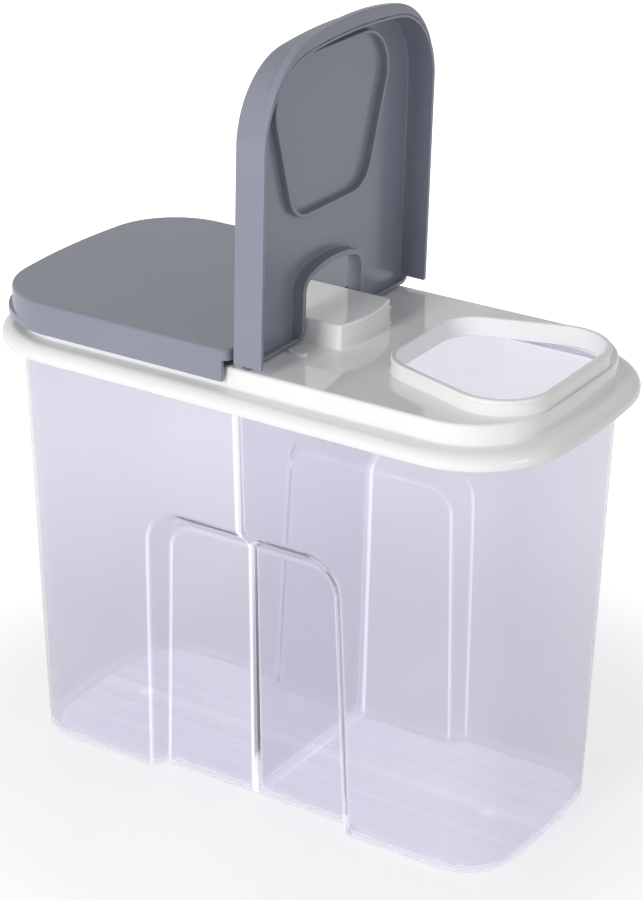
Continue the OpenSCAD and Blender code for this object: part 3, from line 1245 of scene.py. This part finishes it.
    def bay_ring(
        self, shell: Shell, level: float, skin: float, turn: int, drop: float = 0.0
    ) -> Ring:
        """Adds a ring of one compartment.

        Args:
            shell: Where the ring goes.
            level: Its level.
            skin: Thickness of material between it and the outside.
            turn: 1 for the right-hand compartment, -1 for the left-hand one.
            drop: How far the partition's own points lie lower.

        Returns:
            The numbers of the ring's points.
        """
        plan = self.plan(level, skin)
        end = plan.end(self.corner_steps, self.bow_steps)
        share = level / (KEEPER.rim - self.divider_drop)
        thickness = self.divider_foot + (self.divider_top - self.divider_foot) * share
        face = thickness / 2 + (skin - self.wall) / 2
        fillet = self.divider_fillet
        columns = self.side_columns(level, skin, face + fillet, end[0][0])
        front = np.column_stack((columns, self.push(columns, level, skin) - plan.half_width))
        near = front[0][1] + fillet
        bend = arc((face + fillet, near), fillet, 180, 270, self.fillet_steps)
        along = np.linspace(-near, near, self.divider_points + 2)[1:-1]
        partition = np.column_stack((np.full(self.divider_points, face), along))
        back = front[::-1] * (1, -1)
        far_bend = bend[::-1] * (1, -1)
        outline = np.vstack((bend, front[1:-1], end, back[1:-1], far_bend, partition))
        levels = np.full(len(outline), float(level))
        levels[: len(bend)] -= drop
        levels[-len(partition) - len(bend) :] -= drop
        return shell.ring(outline * turn, levels)

    def levels(self) -> list[float]:
        """Levels of the rings between the foot and the rim.

        Returns:
            The levels from low to high, close together at the recess's ledge.
        """
        top = self.recess_height
        brow = top + self.recess_ledge * self.recess_full(top)
        ledge = (top + self.ledge_margins[0], brow + self.ledge_margins[1])
        keys = (self.first_level, self.ledge_level, *ledge, self.last_level)
        return spaced(keys, self.level_counts).tolist()

    def outside(self, shell: Shell) -> list[Ring]:
        """Builds the rings of the outside.

        Args:
            shell: Where the rings go.

        Returns:
            The rings, from the foot up to the rim's top.
        """
        foot = rounded(self.foot_radius, self.foot_steps)
        rings = [self.outer_ring(shell, level, skin) for level, skin in foot]
        rings += [self.outer_ring(shell, level, 0.0) for level in self.levels()]
        under = KEEPER.rim - self.rim_wall
        rings += [
            self.outer_ring(shell, under - drop, -swell, recessed=not swell)
            for swell, drop in self.flange_fillet
        ]
        lip = self.rim_inset + self.rim_lip
        low = KEEPER.rim - self.rim_drop
        rim = [
            (lip, under),
            (lip, low + self.lip_inner_round),
            (lip - self.lip_round, low),
            (self.rim_inset + self.lip_round, low),
            (self.rim_inset, low + self.lip_round),
        ]
        rim += [
            (self.rim_inset + inset, KEEPER.rim - drop)
            for inset, drop in rounded(self.rim_round, self.rim_steps)
        ]
        return rings + [self.rim_ring(shell, level, inset) for inset, level in rim]

    def bay(self, shell: Shell, turn: int) -> Ring:
        """Builds one compartment down to its floor.

        Args:
            shell: Where it goes.
            turn: 1 for the right-hand compartment, -1 for the left-hand one.

        Returns:
            The ring of its mouth.
        """
        rings = [
            self.bay_ring(shell, self.floor + rise, self.wall + inset, turn)
            for rise, inset in rounded(self.floor_radius, self.foot_steps)
        ]
        rings += [self.bay_ring(shell, level, self.wall, turn) for level in self.levels()]
        rings += [
            self.bay_ring(shell, KEEPER.rim - drop, self.wall - inset, turn, self.divider_drop)
            for inset, drop in self.mouth_round
        ]
        shell.stack(rings)
        middle = np.array(self.gate) * turn
        mark = [
            shell.ring(middle + circle(self.gate_radius + grow), self.floor + rise)
            for grow, rise in self.gate_mark
        ]
        shell.sheet(rings[0], [mark[0]])
        shell.stack(mark)
        shell.cap(mark[-1])
        return rings[-1]

    def make(self) -> None:
        """Builds the tub as one closed mesh."""
        shell = Shell()
        outside = self.outside(shell)
        shell.stack(outside)
        shell.sheet(outside[0])
        mouths = [self.bay(shell, turn) for turn in (1, -1)]
        shell.sheet(outside[-1], mouths)
        piece = shell.make("tub_body")
        # Marks where the clear plastic paints its glowing edge highlight.
        self.edge_light.mark(piece)
        Softening().apply(piece)
        dress(piece, self.material, "tub")
        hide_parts("tub")


# ---------- lid ----------


@dataclass
class Lid:
    """White lid with its tiered edge, two pour collars and the central hinge block."""

    material: bpy.types.Material
    workshop: Workshop
    band: float = 4.5
    bead_inset: float = 3.0
    tier_draft: float = 0.5
    tier_edge: float = 1.2
    shoulder_width: float = 5.2
    shoulder_rise: float = 4.1
    collar_height: float = 6.0
    block: BowedPlan = BowedPlan(half_length=26.0, half_width=18.0, corner=2.0, bow=48.0)
    block_height: float = 9.7
    block_draft: float = 0.3
    block_edge: float = 1.0
    hollow_draft: float = 0.3
    roof_extra: float = 0.02
    pin_radius: float = 1.5
    pin_reach: float = 2.8
    pin_root: float = 1.0
    foot_fillet: float = 0.7

    # Sections: offsets in inset and level from where each of them starts.
    plate_fillet: Profile = ((0.8, 0.0), (0.1, -0.7))
    step_fillet: Profile = ((0.0, 0.5), (-0.4, 0.0))
    seat_round: Profile = ((1.0, 0.0), (-0.3, -0.5))
    band_root: Profile = ((0.2, -1.6), (0.0, -2.3))
    bead_start: Profile = ((0.0, 1.7),)
    bead: Profile = ((-0.5, 1.1), (0.0, 0.8), (-0.1, 0.3), (-0.7, 0.0))
    band_foot: Profile = ((0.6, 0.0), (0.15, 0.2), (0.0, 0.7))
    tier_fillet: Profile = ((-0.7, 0.0), (-0.2, 0.2), (0.0, 0.7))
    collar_bead: Profile = (
        (0.0, -1.9), (-0.25, -1.6), (-0.35, -1.2), (-0.33, -0.75), (-0.2, -0.35), (0.1, -0.08),
        (0.5, 0.0),
    )
    collar_edge: Profile = ((-0.55, 0.0), (-0.2, -0.1), (-0.03, -0.35), (0.0, -0.7))
    mouth_round: Profile = ((0.0, 0.3), (-0.3, 0.0))
    pin_tip: Profile = ((0.0, 0.4), (-0.12, 0.12), (-0.4, 0.0))
    pin_dimple: Profile = ((0.5, 0.0), (0.35, 0.15))

    # A rib's corners in plan, and the share of them and the rise at each of its levels.
    rib_plan: Profile = ((6.4, -29.0), (9.0, -31.0), (15.4, -30.4), (15.0, -27.6), (8.4, -27.2))
    rib_section: Profile = ((1.0, -0.5), (1.0, 0.8), (0.96, 0.95), (0.88, 1.0))

    # How many segments the curves have.
    corner_steps: int = 20
    bow_steps: int = 24
    shoulder_steps: int = 14
    tier_steps: int = 7
    fillet_steps: int = 4
    block_steps: tuple[int, int] = (6, 16)
    crown_steps: int = 6

    def section(self) -> list[tuple[float, float]]:
        """The lid's section.

        Returns:
            Pairs of inset and level, from under the plate round to its top.
        """
        ceiling, shoulder = KEEPER.ceiling, KEEPER.shoulder
        band = ceiling - self.band
        inner = KEEPER.tier_inset + KEEPER.lid_wall
        points = []
        for inset, level, offsets in (
            (inner + self.tier_draft, KEEPER.plate_under, self.plate_fillet),
            (inner, ceiling, self.step_fillet),
            (self.bead_inset, ceiling, self.seat_round),
            (KEEPER.lid_wall, ceiling, self.band_root),
            (KEEPER.lid_wall, band, self.bead_start),
            (self.bead_inset, band, self.bead),
            (0.0, band, self.band_foot),
        ):
            points += shifted(inset, level, offsets)
        curve = shoulder - self.shoulder_rise
        for step in range(self.shoulder_steps + 1):
            turn = math.radians(90 * step / self.shoulder_steps)
            inset = self.shoulder_width * (1 - math.cos(turn))
            points.append((inset, curve + self.shoulder_rise * math.sin(turn)))
        points += shifted(KEEPER.tier_inset, shoulder, self.tier_fillet)
        top = KEEPER.tier_inset + self.tier_draft
        edge = rounded(self.tier_edge, self.tier_steps)
        return points + [(top + inset, KEEPER.plate - drop) for inset, drop in edge]

    def foot(self) -> list[tuple[float, float]]:
        """Fillet at the foot of what stands on the plate, as pairs of inset and level."""
        fillet = rounded(self.foot_fillet, self.fillet_steps)
        return [(-drop, KEEPER.plate + rise) for rise, drop in fillet]

    def build_collar(self, shell: Shell, turn: int) -> tuple[Ring, Ring]:
        """Builds a pour collar.

        Args:
            shell: Where it goes.
            turn: 1 for the right-hand collar, -1 for the left-hand one.

        Returns:
            The rings at its foot and at its lower mouth.
        """
        rim = KEEPER.plate + self.collar_height
        wall = KEEPER.collar_wall
        section = [
            *self.foot(),
            *shifted(0.0, rim, self.collar_bead),
            *shifted(wall, rim, self.collar_edge),
            *shifted(wall, KEEPER.plate_under, self.mouth_round),
        ]
        rings = [shell.ring(COLLAR_PLAN.outline(inset) * turn, level) for inset, level in section]
        shell.stack(rings)
        return rings[0], rings[-1]

    def build_block(self, shell: Shell) -> tuple[Ring, Ring]:
        """Builds the hinge block and the hollow in it.

        Args:
            shell: Where it goes.

        Returns:
            The rings at its foot and at its hollow's mouth.
        """
        top = KEEPER.plate + self.block_height
        edge = rounded(self.block_edge, self.crown_steps)
        crown = [(self.block_draft + inset, top - drop) for inset, drop in edge]
        inner = KEEPER.lid_wall + self.hollow_draft
        roof = top - KEEPER.plate_wall - self.roof_extra
        mouth = shifted(inner, KEEPER.plate_under, self.mouth_round[::-1])
        ends = []
        for section in (self.foot() + crown, [*mouth, (inner, roof)]):
            rings = [
                shell.ring(self.block.drawn_in(inset).closed(*self.block_steps), level)
                for inset, level in section
            ]
            shell.stack(rings)
            shell.sheet(rings[-1])
            ends.append(rings[0])
        return ends[0], ends[1]

    def make(self) -> None:
        """Builds the lid as one closed mesh, with its pins and ribs."""
        shell = Shell()
        rings = [
            shell.ring(LID_PLAN.drawn_in(inset).closed(self.corner_steps, self.bow_steps), level)
            for inset, level in self.section()
        ]
        shell.stack(rings)
        parts = (self.build_collar(shell, 1), self.build_collar(shell, -1), self.build_block(shell))
        shell.sheet(rings[-1], [foot for foot, _ in parts])
        shell.sheet(rings[0], [mouth for _, mouth in parts])
        piece = shell.make("lid_shell")
        Softening().apply(piece)
        dress(piece, self.material, "lid")
        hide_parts("lid")
        self.make_pins()
        self.make_ribs()

    def make_pins(self) -> None:
        """Makes the four hinge pins on the block's two long faces."""
        section = [
            (self.pin_radius, self.pin_root),
            *shifted(self.pin_radius, -self.pin_reach, self.pin_tip),
            *shifted(0.0, -self.pin_reach, self.pin_dimple),
        ]
        shell = Shell()
        shell.plug([shell.upright(circle(radius), y) for radius, y in section])
        face = self.block.half_width
        spots = [
            ((KEEPER.hinge_x * x, face * y, KEEPER.hinge_z), (1.0, float(-y), 1.0))
            for x in (-1, 1)
            for y in (-1, 1)
        ]
        repeat = self.workshop.repeater.place
        piece = repeat("lid_hinge_pins", shell.make("pin"), spots, self.material)
        dress(piece, self.material, "lid")

    def make_ribs(self) -> None:
        """Makes the four low pointed ribs beside the arms of an open flap."""
        plan = np.array(self.rib_plan)
        middle = plan.mean(axis=0)
        shell = Shell()
        shell.plug(
            [
                shell.ring(middle + (plan - middle) * share, KEEPER.plate + rise)
                for share, rise in self.rib_section
            ]
        )
        spots = [((0.0, 0.0, 0.0), (float(x), float(y), 1.0)) for x in (-1, 1) for y in (-1, 1)]
        repeat = self.workshop.repeater.place
        piece = repeat("lid_ribs", shell.make("rib"), spots, self.material)
        dress(piece, self.material, "lid")


# ---------- flaps ----------


class Placement(Enum):
    """Where a flap is drawn."""

    CLOSED_LEFT = "left"
    OPEN_RIGHT = "right"

    @property
    def body(self) -> str:
        """Name of the body that the flap is."""
        return f"{self.value}_flap"

    def place(self, points: Ring) -> Ring:
        """Moves points to where the flap is drawn.

        Args:
            points: Points on the closed right-hand flap.

        Returns:
            The points in their place.
        """
        if self is Placement.CLOSED_LEFT:
            return self.turn(points)
        hinge = np.array([KEEPER.hinge_x, 0.0, KEEPER.hinge_z])
        return self.turn(points - hinge) + hinge

    def turn(self, points: Ring) -> Ring:
        """Turns points as the flap is turned.

        Args:
            points: Points measured from the hinge's axis.

        Returns:
            The points, turned half round for the left-hand flap and up for the open one.
        """
        if self is Placement.CLOSED_LEFT:
            return points * (-1, -1, 1)
        angle = math.radians(KEEPER.open_angle)
        x, y, z = points.T
        over = x * math.cos(angle) - z * math.sin(angle)
        up = x * math.sin(angle) + z * math.cos(angle)
        return np.column_stack((over, y, up))


@dataclass
class Flap:
    """Grey flap: top, skirt, the arms on both sides of the block, seal ring and finger lip."""

    placement: Placement
    material: bpy.types.Material
    workshop: Workshop
    wall: float = 1.5
    skirt: float = 12.5
    low_wall: float = 4.3
    corner: float = 31.0
    arm_corner: float = 4.0
    skirt_start: float = 3.1
    notch_skirt: float = 6.3
    notch_wall: float = 2.2
    notch: BowedPlan = BowedPlan(half_length=27.0, half_width=19.0, corner=5.5, bow=49.0)
    meeting_gap: float = 0.4
    end_gap: float = 1.6
    side_gap: float = 1.6
    eye_radius: float = 3.3
    eye_depth: float = 0.6
    seal_height: float = 2.6
    seal_wall: float = 1.5
    seal_gap: float = 0.35
    seal_round: float = 0.35
    lip_margin: float = 3.7
    lip_reach: float = 4.8
    lip_height: float = 3.0
    lip_round: float = 0.6
    lip_taper: float = 1.4
    edge: float = 1.0
    bevel: float = 0.25

    # How far in and below the cap's underside, and how far inside an eye's radius and from the
    # notch wall's two faces.
    inner_round: Profile = ((0.0, 0.5), (0.15, 0.15), (0.5, 0.0))
    eye_front: Profile = ((0.3, 0.1), (0.0, 0.3))
    eye_back: Profile = ((0.0, -0.15), (0.2, 0.05))

    # How many segments the curves have.
    corner_steps: int = 20
    bow_steps: int = 24
    arm_steps: int = 6
    arm_end_steps: int = 4
    notch_steps: tuple[int, int] = (8, 12)
    edge_steps: int = 6
    lip_steps: int = 48
    lip_round_steps: int = 3
    eye_steps: int = 36

    @property
    def plan(self) -> BowedPlan:
        """Plan of the flap's outer end.

        Returns:
            The whole outline of which the end is a part.
        """
        length = KEEPER.half_length - KEEPER.tier_inset + self.end_gap + self.wall
        width = KEEPER.half_width - KEEPER.tier_inset + self.side_gap + self.wall
        return BowedPlan(length, width, self.corner, KEEPER.bow - KEEPER.tier_inset)

    def loop(self, inset: float, notch_inset: float) -> tuple[Ring, Ring]:
        """The flap's whole edge: outer outline, the hinge ends of its arms and the notch.

        Args:
            inset: How far the outer edge is drawn in.
            notch_inset: How far the notch's edge is drawn into the material.

        Returns:
            The closed outline, and the depth of wall that belongs to each of its points.
        """
        start_x = self.meeting_gap + inset
        radius = self.arm_corner - inset
        x, y = self.meeting_gap + self.arm_corner, self.plan.half_width - self.arm_corner
        split = math.degrees(math.acos((self.skirt_start - x) / radius))
        hinge_y = self.notch.half_width + notch_inset
        pivot = KEEPER.hinge_x
        arm = [
            [(start_x, -hinge_y)],
            arc((x, -y), radius, 180, 360 - split, self.arm_steps),
        ]
        skirt = [
            arc((x, -y), radius, 360 - split, 270, self.arm_end_steps),
            self.plan.drawn_in(inset).end(self.corner_steps, self.bow_steps),
            arc((x, y), radius, 90, split, self.arm_end_steps),
        ]
        notch = self.notch.drawn_in(-notch_inset).end(*self.notch_steps)[::-1]
        runs = [
            (np.vstack(arm), self.low_wall),
            (np.vstack(skirt), self.skirt),
            (np.vstack(arm)[:0:-1] * (1, -1), self.low_wall),
            ([(start_x, hinge_y), (pivot, hinge_y)], self.low_wall),
            ([(pivot, hinge_y), *notch, (pivot, -hinge_y)], self.notch_skirt),
            ([(pivot, -hinge_y)], self.low_wall),
        ]
        outline = np.vstack([run for run, _ in runs])
        return outline, np.concatenate([np.full(len(run), depth) for run, depth in runs])

    def make(self) -> None:
        """Builds the flap's body, its seal ring and its hinge eyes."""
        top = KEEPER.flap_top
        shell = Shell()
        edge = rounded(self.edge, self.edge_steps)[::-1]
        rings = [shell.ring(self.loop(inset, inset)[0], top - drop) for inset, drop in edge]
        steps = (self.low_wall, self.notch_skirt, self.skirt)
        outline, depths = self.loop(0.0, 0.0)
        rings += [shell.ring(outline, top - np.minimum(depths, step)) for step in steps]
        outline, depths = self.loop(self.wall, self.notch_wall)
        rings += [shell.ring(outline, top - np.minimum(depths, step)) for step in steps[::-1]]
        for inset, drop in self.inner_round:
            outline, _ = self.loop(self.wall + inset, self.notch_wall + inset)
            rings.append(shell.ring(outline, top - self.wall - drop))
        shell.stack(rings)
        shell.sheet(rings[0])
        shell.sheet(rings[-1])
        self.add_lip(shell)
        body = self.placement.body
        piece = shell.make(f"{body}_shell", self.placement.place)
        Softening(self.bevel).apply(piece)
        dress(piece, self.material, body)
        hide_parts(body)
        self.make_seal()
        self.make_eyes()

    def end_x(self, across: Ring) -> Ring:
        """How far out the flap's outer end reaches.

        Args:
            across: Distances from the flap's middle line.

        Returns:
            The reach at each distance.
        """
        plan = self.plan
        across = np.abs(across)
        bowed = plan.bow_x + np.sqrt(plan.bow**2 - across**2)
        past = np.clip(across - plan.corner_y, 0.0, plan.corner)
        cornered = plan.corner_x + np.sqrt(plan.corner**2 - past**2)
        meeting = plan.bow * plan.corner_y / (plan.bow - plan.corner)
        return np.where(across < meeting, bowed, cornered)

    def add_lip(self, shell: Shell) -> None:
        """Adds the crescent along the skirt's lower edge, round the outer end and its corners.

        Args:
            shell: Where it goes.
        """
        low = KEEPER.flap_top - self.skirt
        turns = np.radians(np.linspace(-90, 90, self.lip_steps + 1))
        across = (self.plan.half_width - self.lip_margin) * np.sin(turns)
        end_x = self.end_x(across)
        root = np.column_stack((end_x - self.wall / 2, across))[::-1]
        edge = rounded(self.lip_round, self.lip_round_steps)
        profile = edge[::-1] + [(inset, self.lip_height - drop) for inset, drop in edge]
        rings = []
        for inset, rise in profile:
            reach = (self.lip_reach - inset) * np.cos(turns) ** self.lip_taper
            front = np.column_stack((end_x + reach, across))
            rings.append(shell.ring(np.vstack((front, root)), low + rise))
        shell.stack(rings)
        shell.sheet(rings[0])
        shell.sheet(rings[-1])

    def make_seal(self) -> None:
        """Makes the ring under the flap that plugs the pour collar."""
        height = self.seal_height + self.wall / 2
        level = KEEPER.flap_top - self.wall - self.seal_height + height / 2
        inset = KEEPER.collar_wall + self.seal_gap + self.seal_wall / 2
        plan = COLLAR_PLAN.outline(inset)
        count = len(plan)
        mesh = bpy.data.meshes.new("plan")
        points = np.column_stack((plan, np.zeros(count))) * MM
        mesh.from_pydata(points.tolist(), [(i, (i + 1) % count) for i in range(count)], [])
        sizes = {
            "Thickness": self.seal_wall * MM,
            "Height": height * MM,
            "Edge": self.seal_round * MM,
            "Finish": self.material,
        }
        carrier = stand("plan", mesh)
        piece = self.workshop.sweep.nodes.run(carrier, f"{self.placement.body}_seal", sizes)
        flat = np.empty(len(piece.data.vertices) * 3)
        piece.data.vertices.foreach_get("co", flat)
        placed = self.placement.place(flat.reshape(-1, 3) / MM + (0, 0, level)) * MM
        piece.data.vertices.foreach_set("co", placed.ravel())
        piece.data.update()
        Softening().apply(piece)
        dress(piece, self.material, self.placement.body)

    def make_eyes(self) -> None:
        """Makes the two round ears that carry the hinge bores."""
        placement = self.placement
        top = KEEPER.flap_top - self.wall * self.eye_depth - KEEPER.hinge_z
        start = math.degrees(math.asin(top / self.eye_radius))
        ear = arc((0, 0), self.eye_radius, 180 - start, 360 + start, self.eye_steps)
        section = [*self.eye_front, *shifted(0.0, self.notch_wall, self.eye_back)]
        shell = Shell()
        shell.plug([shell.upright(ear * (1 - inset / self.eye_radius), y) for inset, y in section])
        spots = []
        for side in (-1, 1):
            spot = np.array([[KEEPER.hinge_x, self.notch.half_width * side, KEEPER.hinge_z]])
            spots.append((tuple(placement.place(spot)[0]), (1.0, float(side), 1.0)))
        repeat = self.workshop.repeater.place
        ear_part = shell.make("eye", placement.turn)
        piece = repeat(f"{placement.body}_eyes", ear_part, spots, self.material)
        Softening().apply(piece)
        dress(piece, self.material, placement.body)


# ---------- studio ----------


@dataclass(frozen=True)
class Camera:
    """The photograph's point of view: angles in degrees, distances in metres."""

    azimuth: float = 32.55
    elevation: float = 24.13
    roll: float = 0.68
    distance: float = 1.0257
    aim: Place = (0.0, 0.0, 0.13)
    slide: tuple[float, float] = (0.00307, 0.00449)
    lens: float = 106.07
    sensor: float = 36.0
    nearest: float = 0.05

    def make(self) -> None:
        """Creates the camera and makes it the scene's."""
        angles = (self.azimuth, self.elevation, self.roll)
        azimuth, elevation, roll = (math.radians(angle) for angle in angles)
        flat = math.cos(elevation)
        level = Vector((math.cos(azimuth), math.sin(azimuth), 0.0))
        back = Vector((math.sin(azimuth) * flat, -math.cos(azimuth) * flat, math.sin(elevation)))
        upright = back.cross(level)
        right = level * math.cos(roll) + upright * math.sin(roll)
        up = upright * math.cos(roll) - level * math.sin(roll)
        place = Vector(self.aim) + back * self.distance
        place = place + right * self.slide[0] + up * self.slide[1]
        data = bpy.data.cameras.new("camera")
        data.lens = self.lens
        data.sensor_width = self.sensor
        data.clip_start = self.nearest
        camera = stand("camera", data)
        turn = Matrix((right, up, back)).transposed().to_4x4()
        camera.matrix_world = Matrix.Translation(place) @ turn
        bpy.context.scene.camera = camera


@dataclass(frozen=True)
class Softbox:
    """A rectangular white lamp, which gloss and clear plastic show only where it is mirrored."""

    name: str
    place: Place
    aim: Place
    size: tuple[float, float]
    power: float
    mirrored: bool = False

    def make(self) -> None:
        """Creates the lamp."""
        data = bpy.data.lights.new(self.name, "AREA")
        data.shape = "RECTANGLE"
        data.size, data.size_y = self.size
        data.energy = self.power
        lamp = stand(self.name, data)
        lamp.location = self.place
        lamp.visible_glossy = self.mirrored
        lamp.visible_transmission = self.mirrored
        towards = Vector(self.aim) - Vector(self.place)
        lamp.rotation_euler = towards.to_track_quat("-Z", "Y").to_euler()


@dataclass
class Studio:
    """White floor, white surroundings and soft lamps."""

    floor_size: float = 10.0
    floor_shade: float = 0.9
    floor_roughness: float = 0.45
    floor_specular: float = 0.25
    # Floor glow near and far from the object: lower near it, a painted shade round the object;
    # dimmer in gloss and through the clear plastic, a painted shade there.
    lift: tuple[float, float] = (0.34, 0.98)
    lift_through: tuple[float, float] = (0.22, 0.5)
    lift_reach: tuple[float, float] = (0.12, 0.36)
    horizon: float = 0.43
    zenith: float = 0.38
    gloss_loss: float = 0.2
    lamps: tuple[Softbox, ...] = (
        Softbox("key", (-0.1, -2.0, 0.85), (0.0, 0.0, 0.15), (0.5, 0.9), 25.5),
        Softbox("fill", (1.9, -0.3, 0.5), (0.0, 0.0, 0.15), (0.6, 0.6), 3.0, mirrored=True),
    )

    def make(self) -> None:
        """Builds the floor, the world and the lamps."""
        self.make_floor()
        self.make_world()
        for lamp in self.lamps:
            lamp.make()
        bpy.context.scene.view_settings.view_transform = "Standard"

    def make_floor(self) -> None:
        """Makes a white floor that keeps the object's shadow, with its glow lower near the object,
        which paints a soft shade round it, and lower still where it is seen in gloss or through the
        clear plastic, which paints shade there.
        """
        mesh = bpy.data.meshes.new("floor")
        half = self.floor_size / 2
        corners = [(x * half, y * half, 0) for x, y in ((-1, -1), (1, -1), (1, 1), (-1, 1))]
        mesh.from_pydata(corners, [], [(0, 1, 2, 3)])
        floor = stand("floor", mesh)
        material = bpy.data.materials.new("floor white")
        material.use_nodes = True
        tree = material.node_tree
        link = tree.links.new
        body = tree.nodes["Principled BSDF"].inputs
        for label, value in (
            ("Base Color", (self.floor_shade, self.floor_shade, self.floor_shade, 1.0)),
            ("Roughness", self.floor_roughness),
            ("Specular IOR Level", self.floor_specular),
            ("Emission Color", PURE_WHITE),
        ):
            body[label].default_value = value
        place = add_node(tree, "ShaderNodeTexCoord")
        away = add_node(tree, "ShaderNodeVectorMath", operation="LENGTH")
        link(place.outputs["Object"], away.inputs[0])
        ray = add_node(tree, "ShaderNodeLightPath").outputs
        bent = either(tree, ray["Is Glossy Ray"], ray["Is Transmission Ray"])
        rays = (ray["Is Camera Ray"], bent)
        lift = add_node(tree, "ShaderNodeMath", operation="ADD")
        # Glow ramps up with distance from the object: painted shade round it.
        start, end = self.lift_reach
        for socket, mask, (near, far) in zip(lift.inputs, rays, (self.lift, self.lift_through)):
            ends = {"From Min": start, "From Max": end, "To Min": near, "To Max": far}
            rise = add_node(tree, "ShaderNodeMapRange", ends, interpolation_type="SMOOTHSTEP")
            part = add_node(tree, "ShaderNodeMath", operation="MULTIPLY")
            link(away.outputs["Value"], rise.inputs["Value"])
            link(rise.outputs["Result"], part.inputs[0])
            link(mask, part.inputs[1])
            link(part.outputs[0], socket)
        link(lift.outputs[0], body["Emission Strength"])
        mesh.materials.append(material)

    def make_world(self) -> None:
        """Makes surroundings that are white to the eye and soft to the object."""
        world = bpy.data.worlds.new("studio")
        bpy.context.scene.world = world
        world.use_nodes = True
        tree = world.node_tree
        link = tree.links.new
        tree.nodes.clear()
        place = add_node(tree, "ShaderNodeTexCoord")
        split = add_node(tree, "ShaderNodeSeparateXYZ")
        fade = add_node(tree, "ShaderNodeMapRange", {"To Min": self.horizon, "To Max": self.zenith})
        soft = add_node(tree, "ShaderNodeBackground", {"Color": PURE_WHITE})
        link(place.outputs["Generated"], split.inputs[0])
        link(split.outputs["Z"], fade.inputs["Value"])
        link(fade.outputs["Result"], soft.inputs["Strength"])
        ray = add_node(tree, "ShaderNodeLightPath").outputs
        dimming = {1: -self.gloss_loss, 2: 1.0}
        dim = add_node(tree, "ShaderNodeMath", dimming, operation="MULTIPLY_ADD")
        white = add_node(tree, "ShaderNodeBackground", {"Color": PURE_WHITE})
        link(ray["Is Glossy Ray"], dim.inputs[0])
        link(dim.outputs[0], white.inputs["Strength"])
        seen = either(tree, ray["Is Camera Ray"], ray["Is Glossy Ray"])
        mix = add_node(tree, "ShaderNodeMixShader")
        end = add_node(tree, "ShaderNodeOutputWorld")
        link(either(tree, seen, ray["Is Transmission Ray"]), mix.inputs["Fac"])
        link(soft.outputs[0], mix.inputs[1])
        link(white.outputs[0], mix.inputs[2])
        link(mix.outputs[0], end.inputs["Surface"])


# ---------- the whole ----------


def main() -> None:
    """Builds the keeper, the studio and the camera."""
    logging.basicConfig(level=logging.INFO, format="%(name)s: %(message)s")
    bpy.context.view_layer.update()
    effects = Effects()
    clear, white, grey = CLEAR.make(effects), WHITE.make(effects), GREY.make(effects)
    workshop = Workshop()
    Tub(clear).make()
    Lid(white, workshop).make()
    for placement in Placement:
        Flap(placement, grey, workshop).make()
    Studio().make()
    Camera().make()


if __name__ == "__main__":
    main()
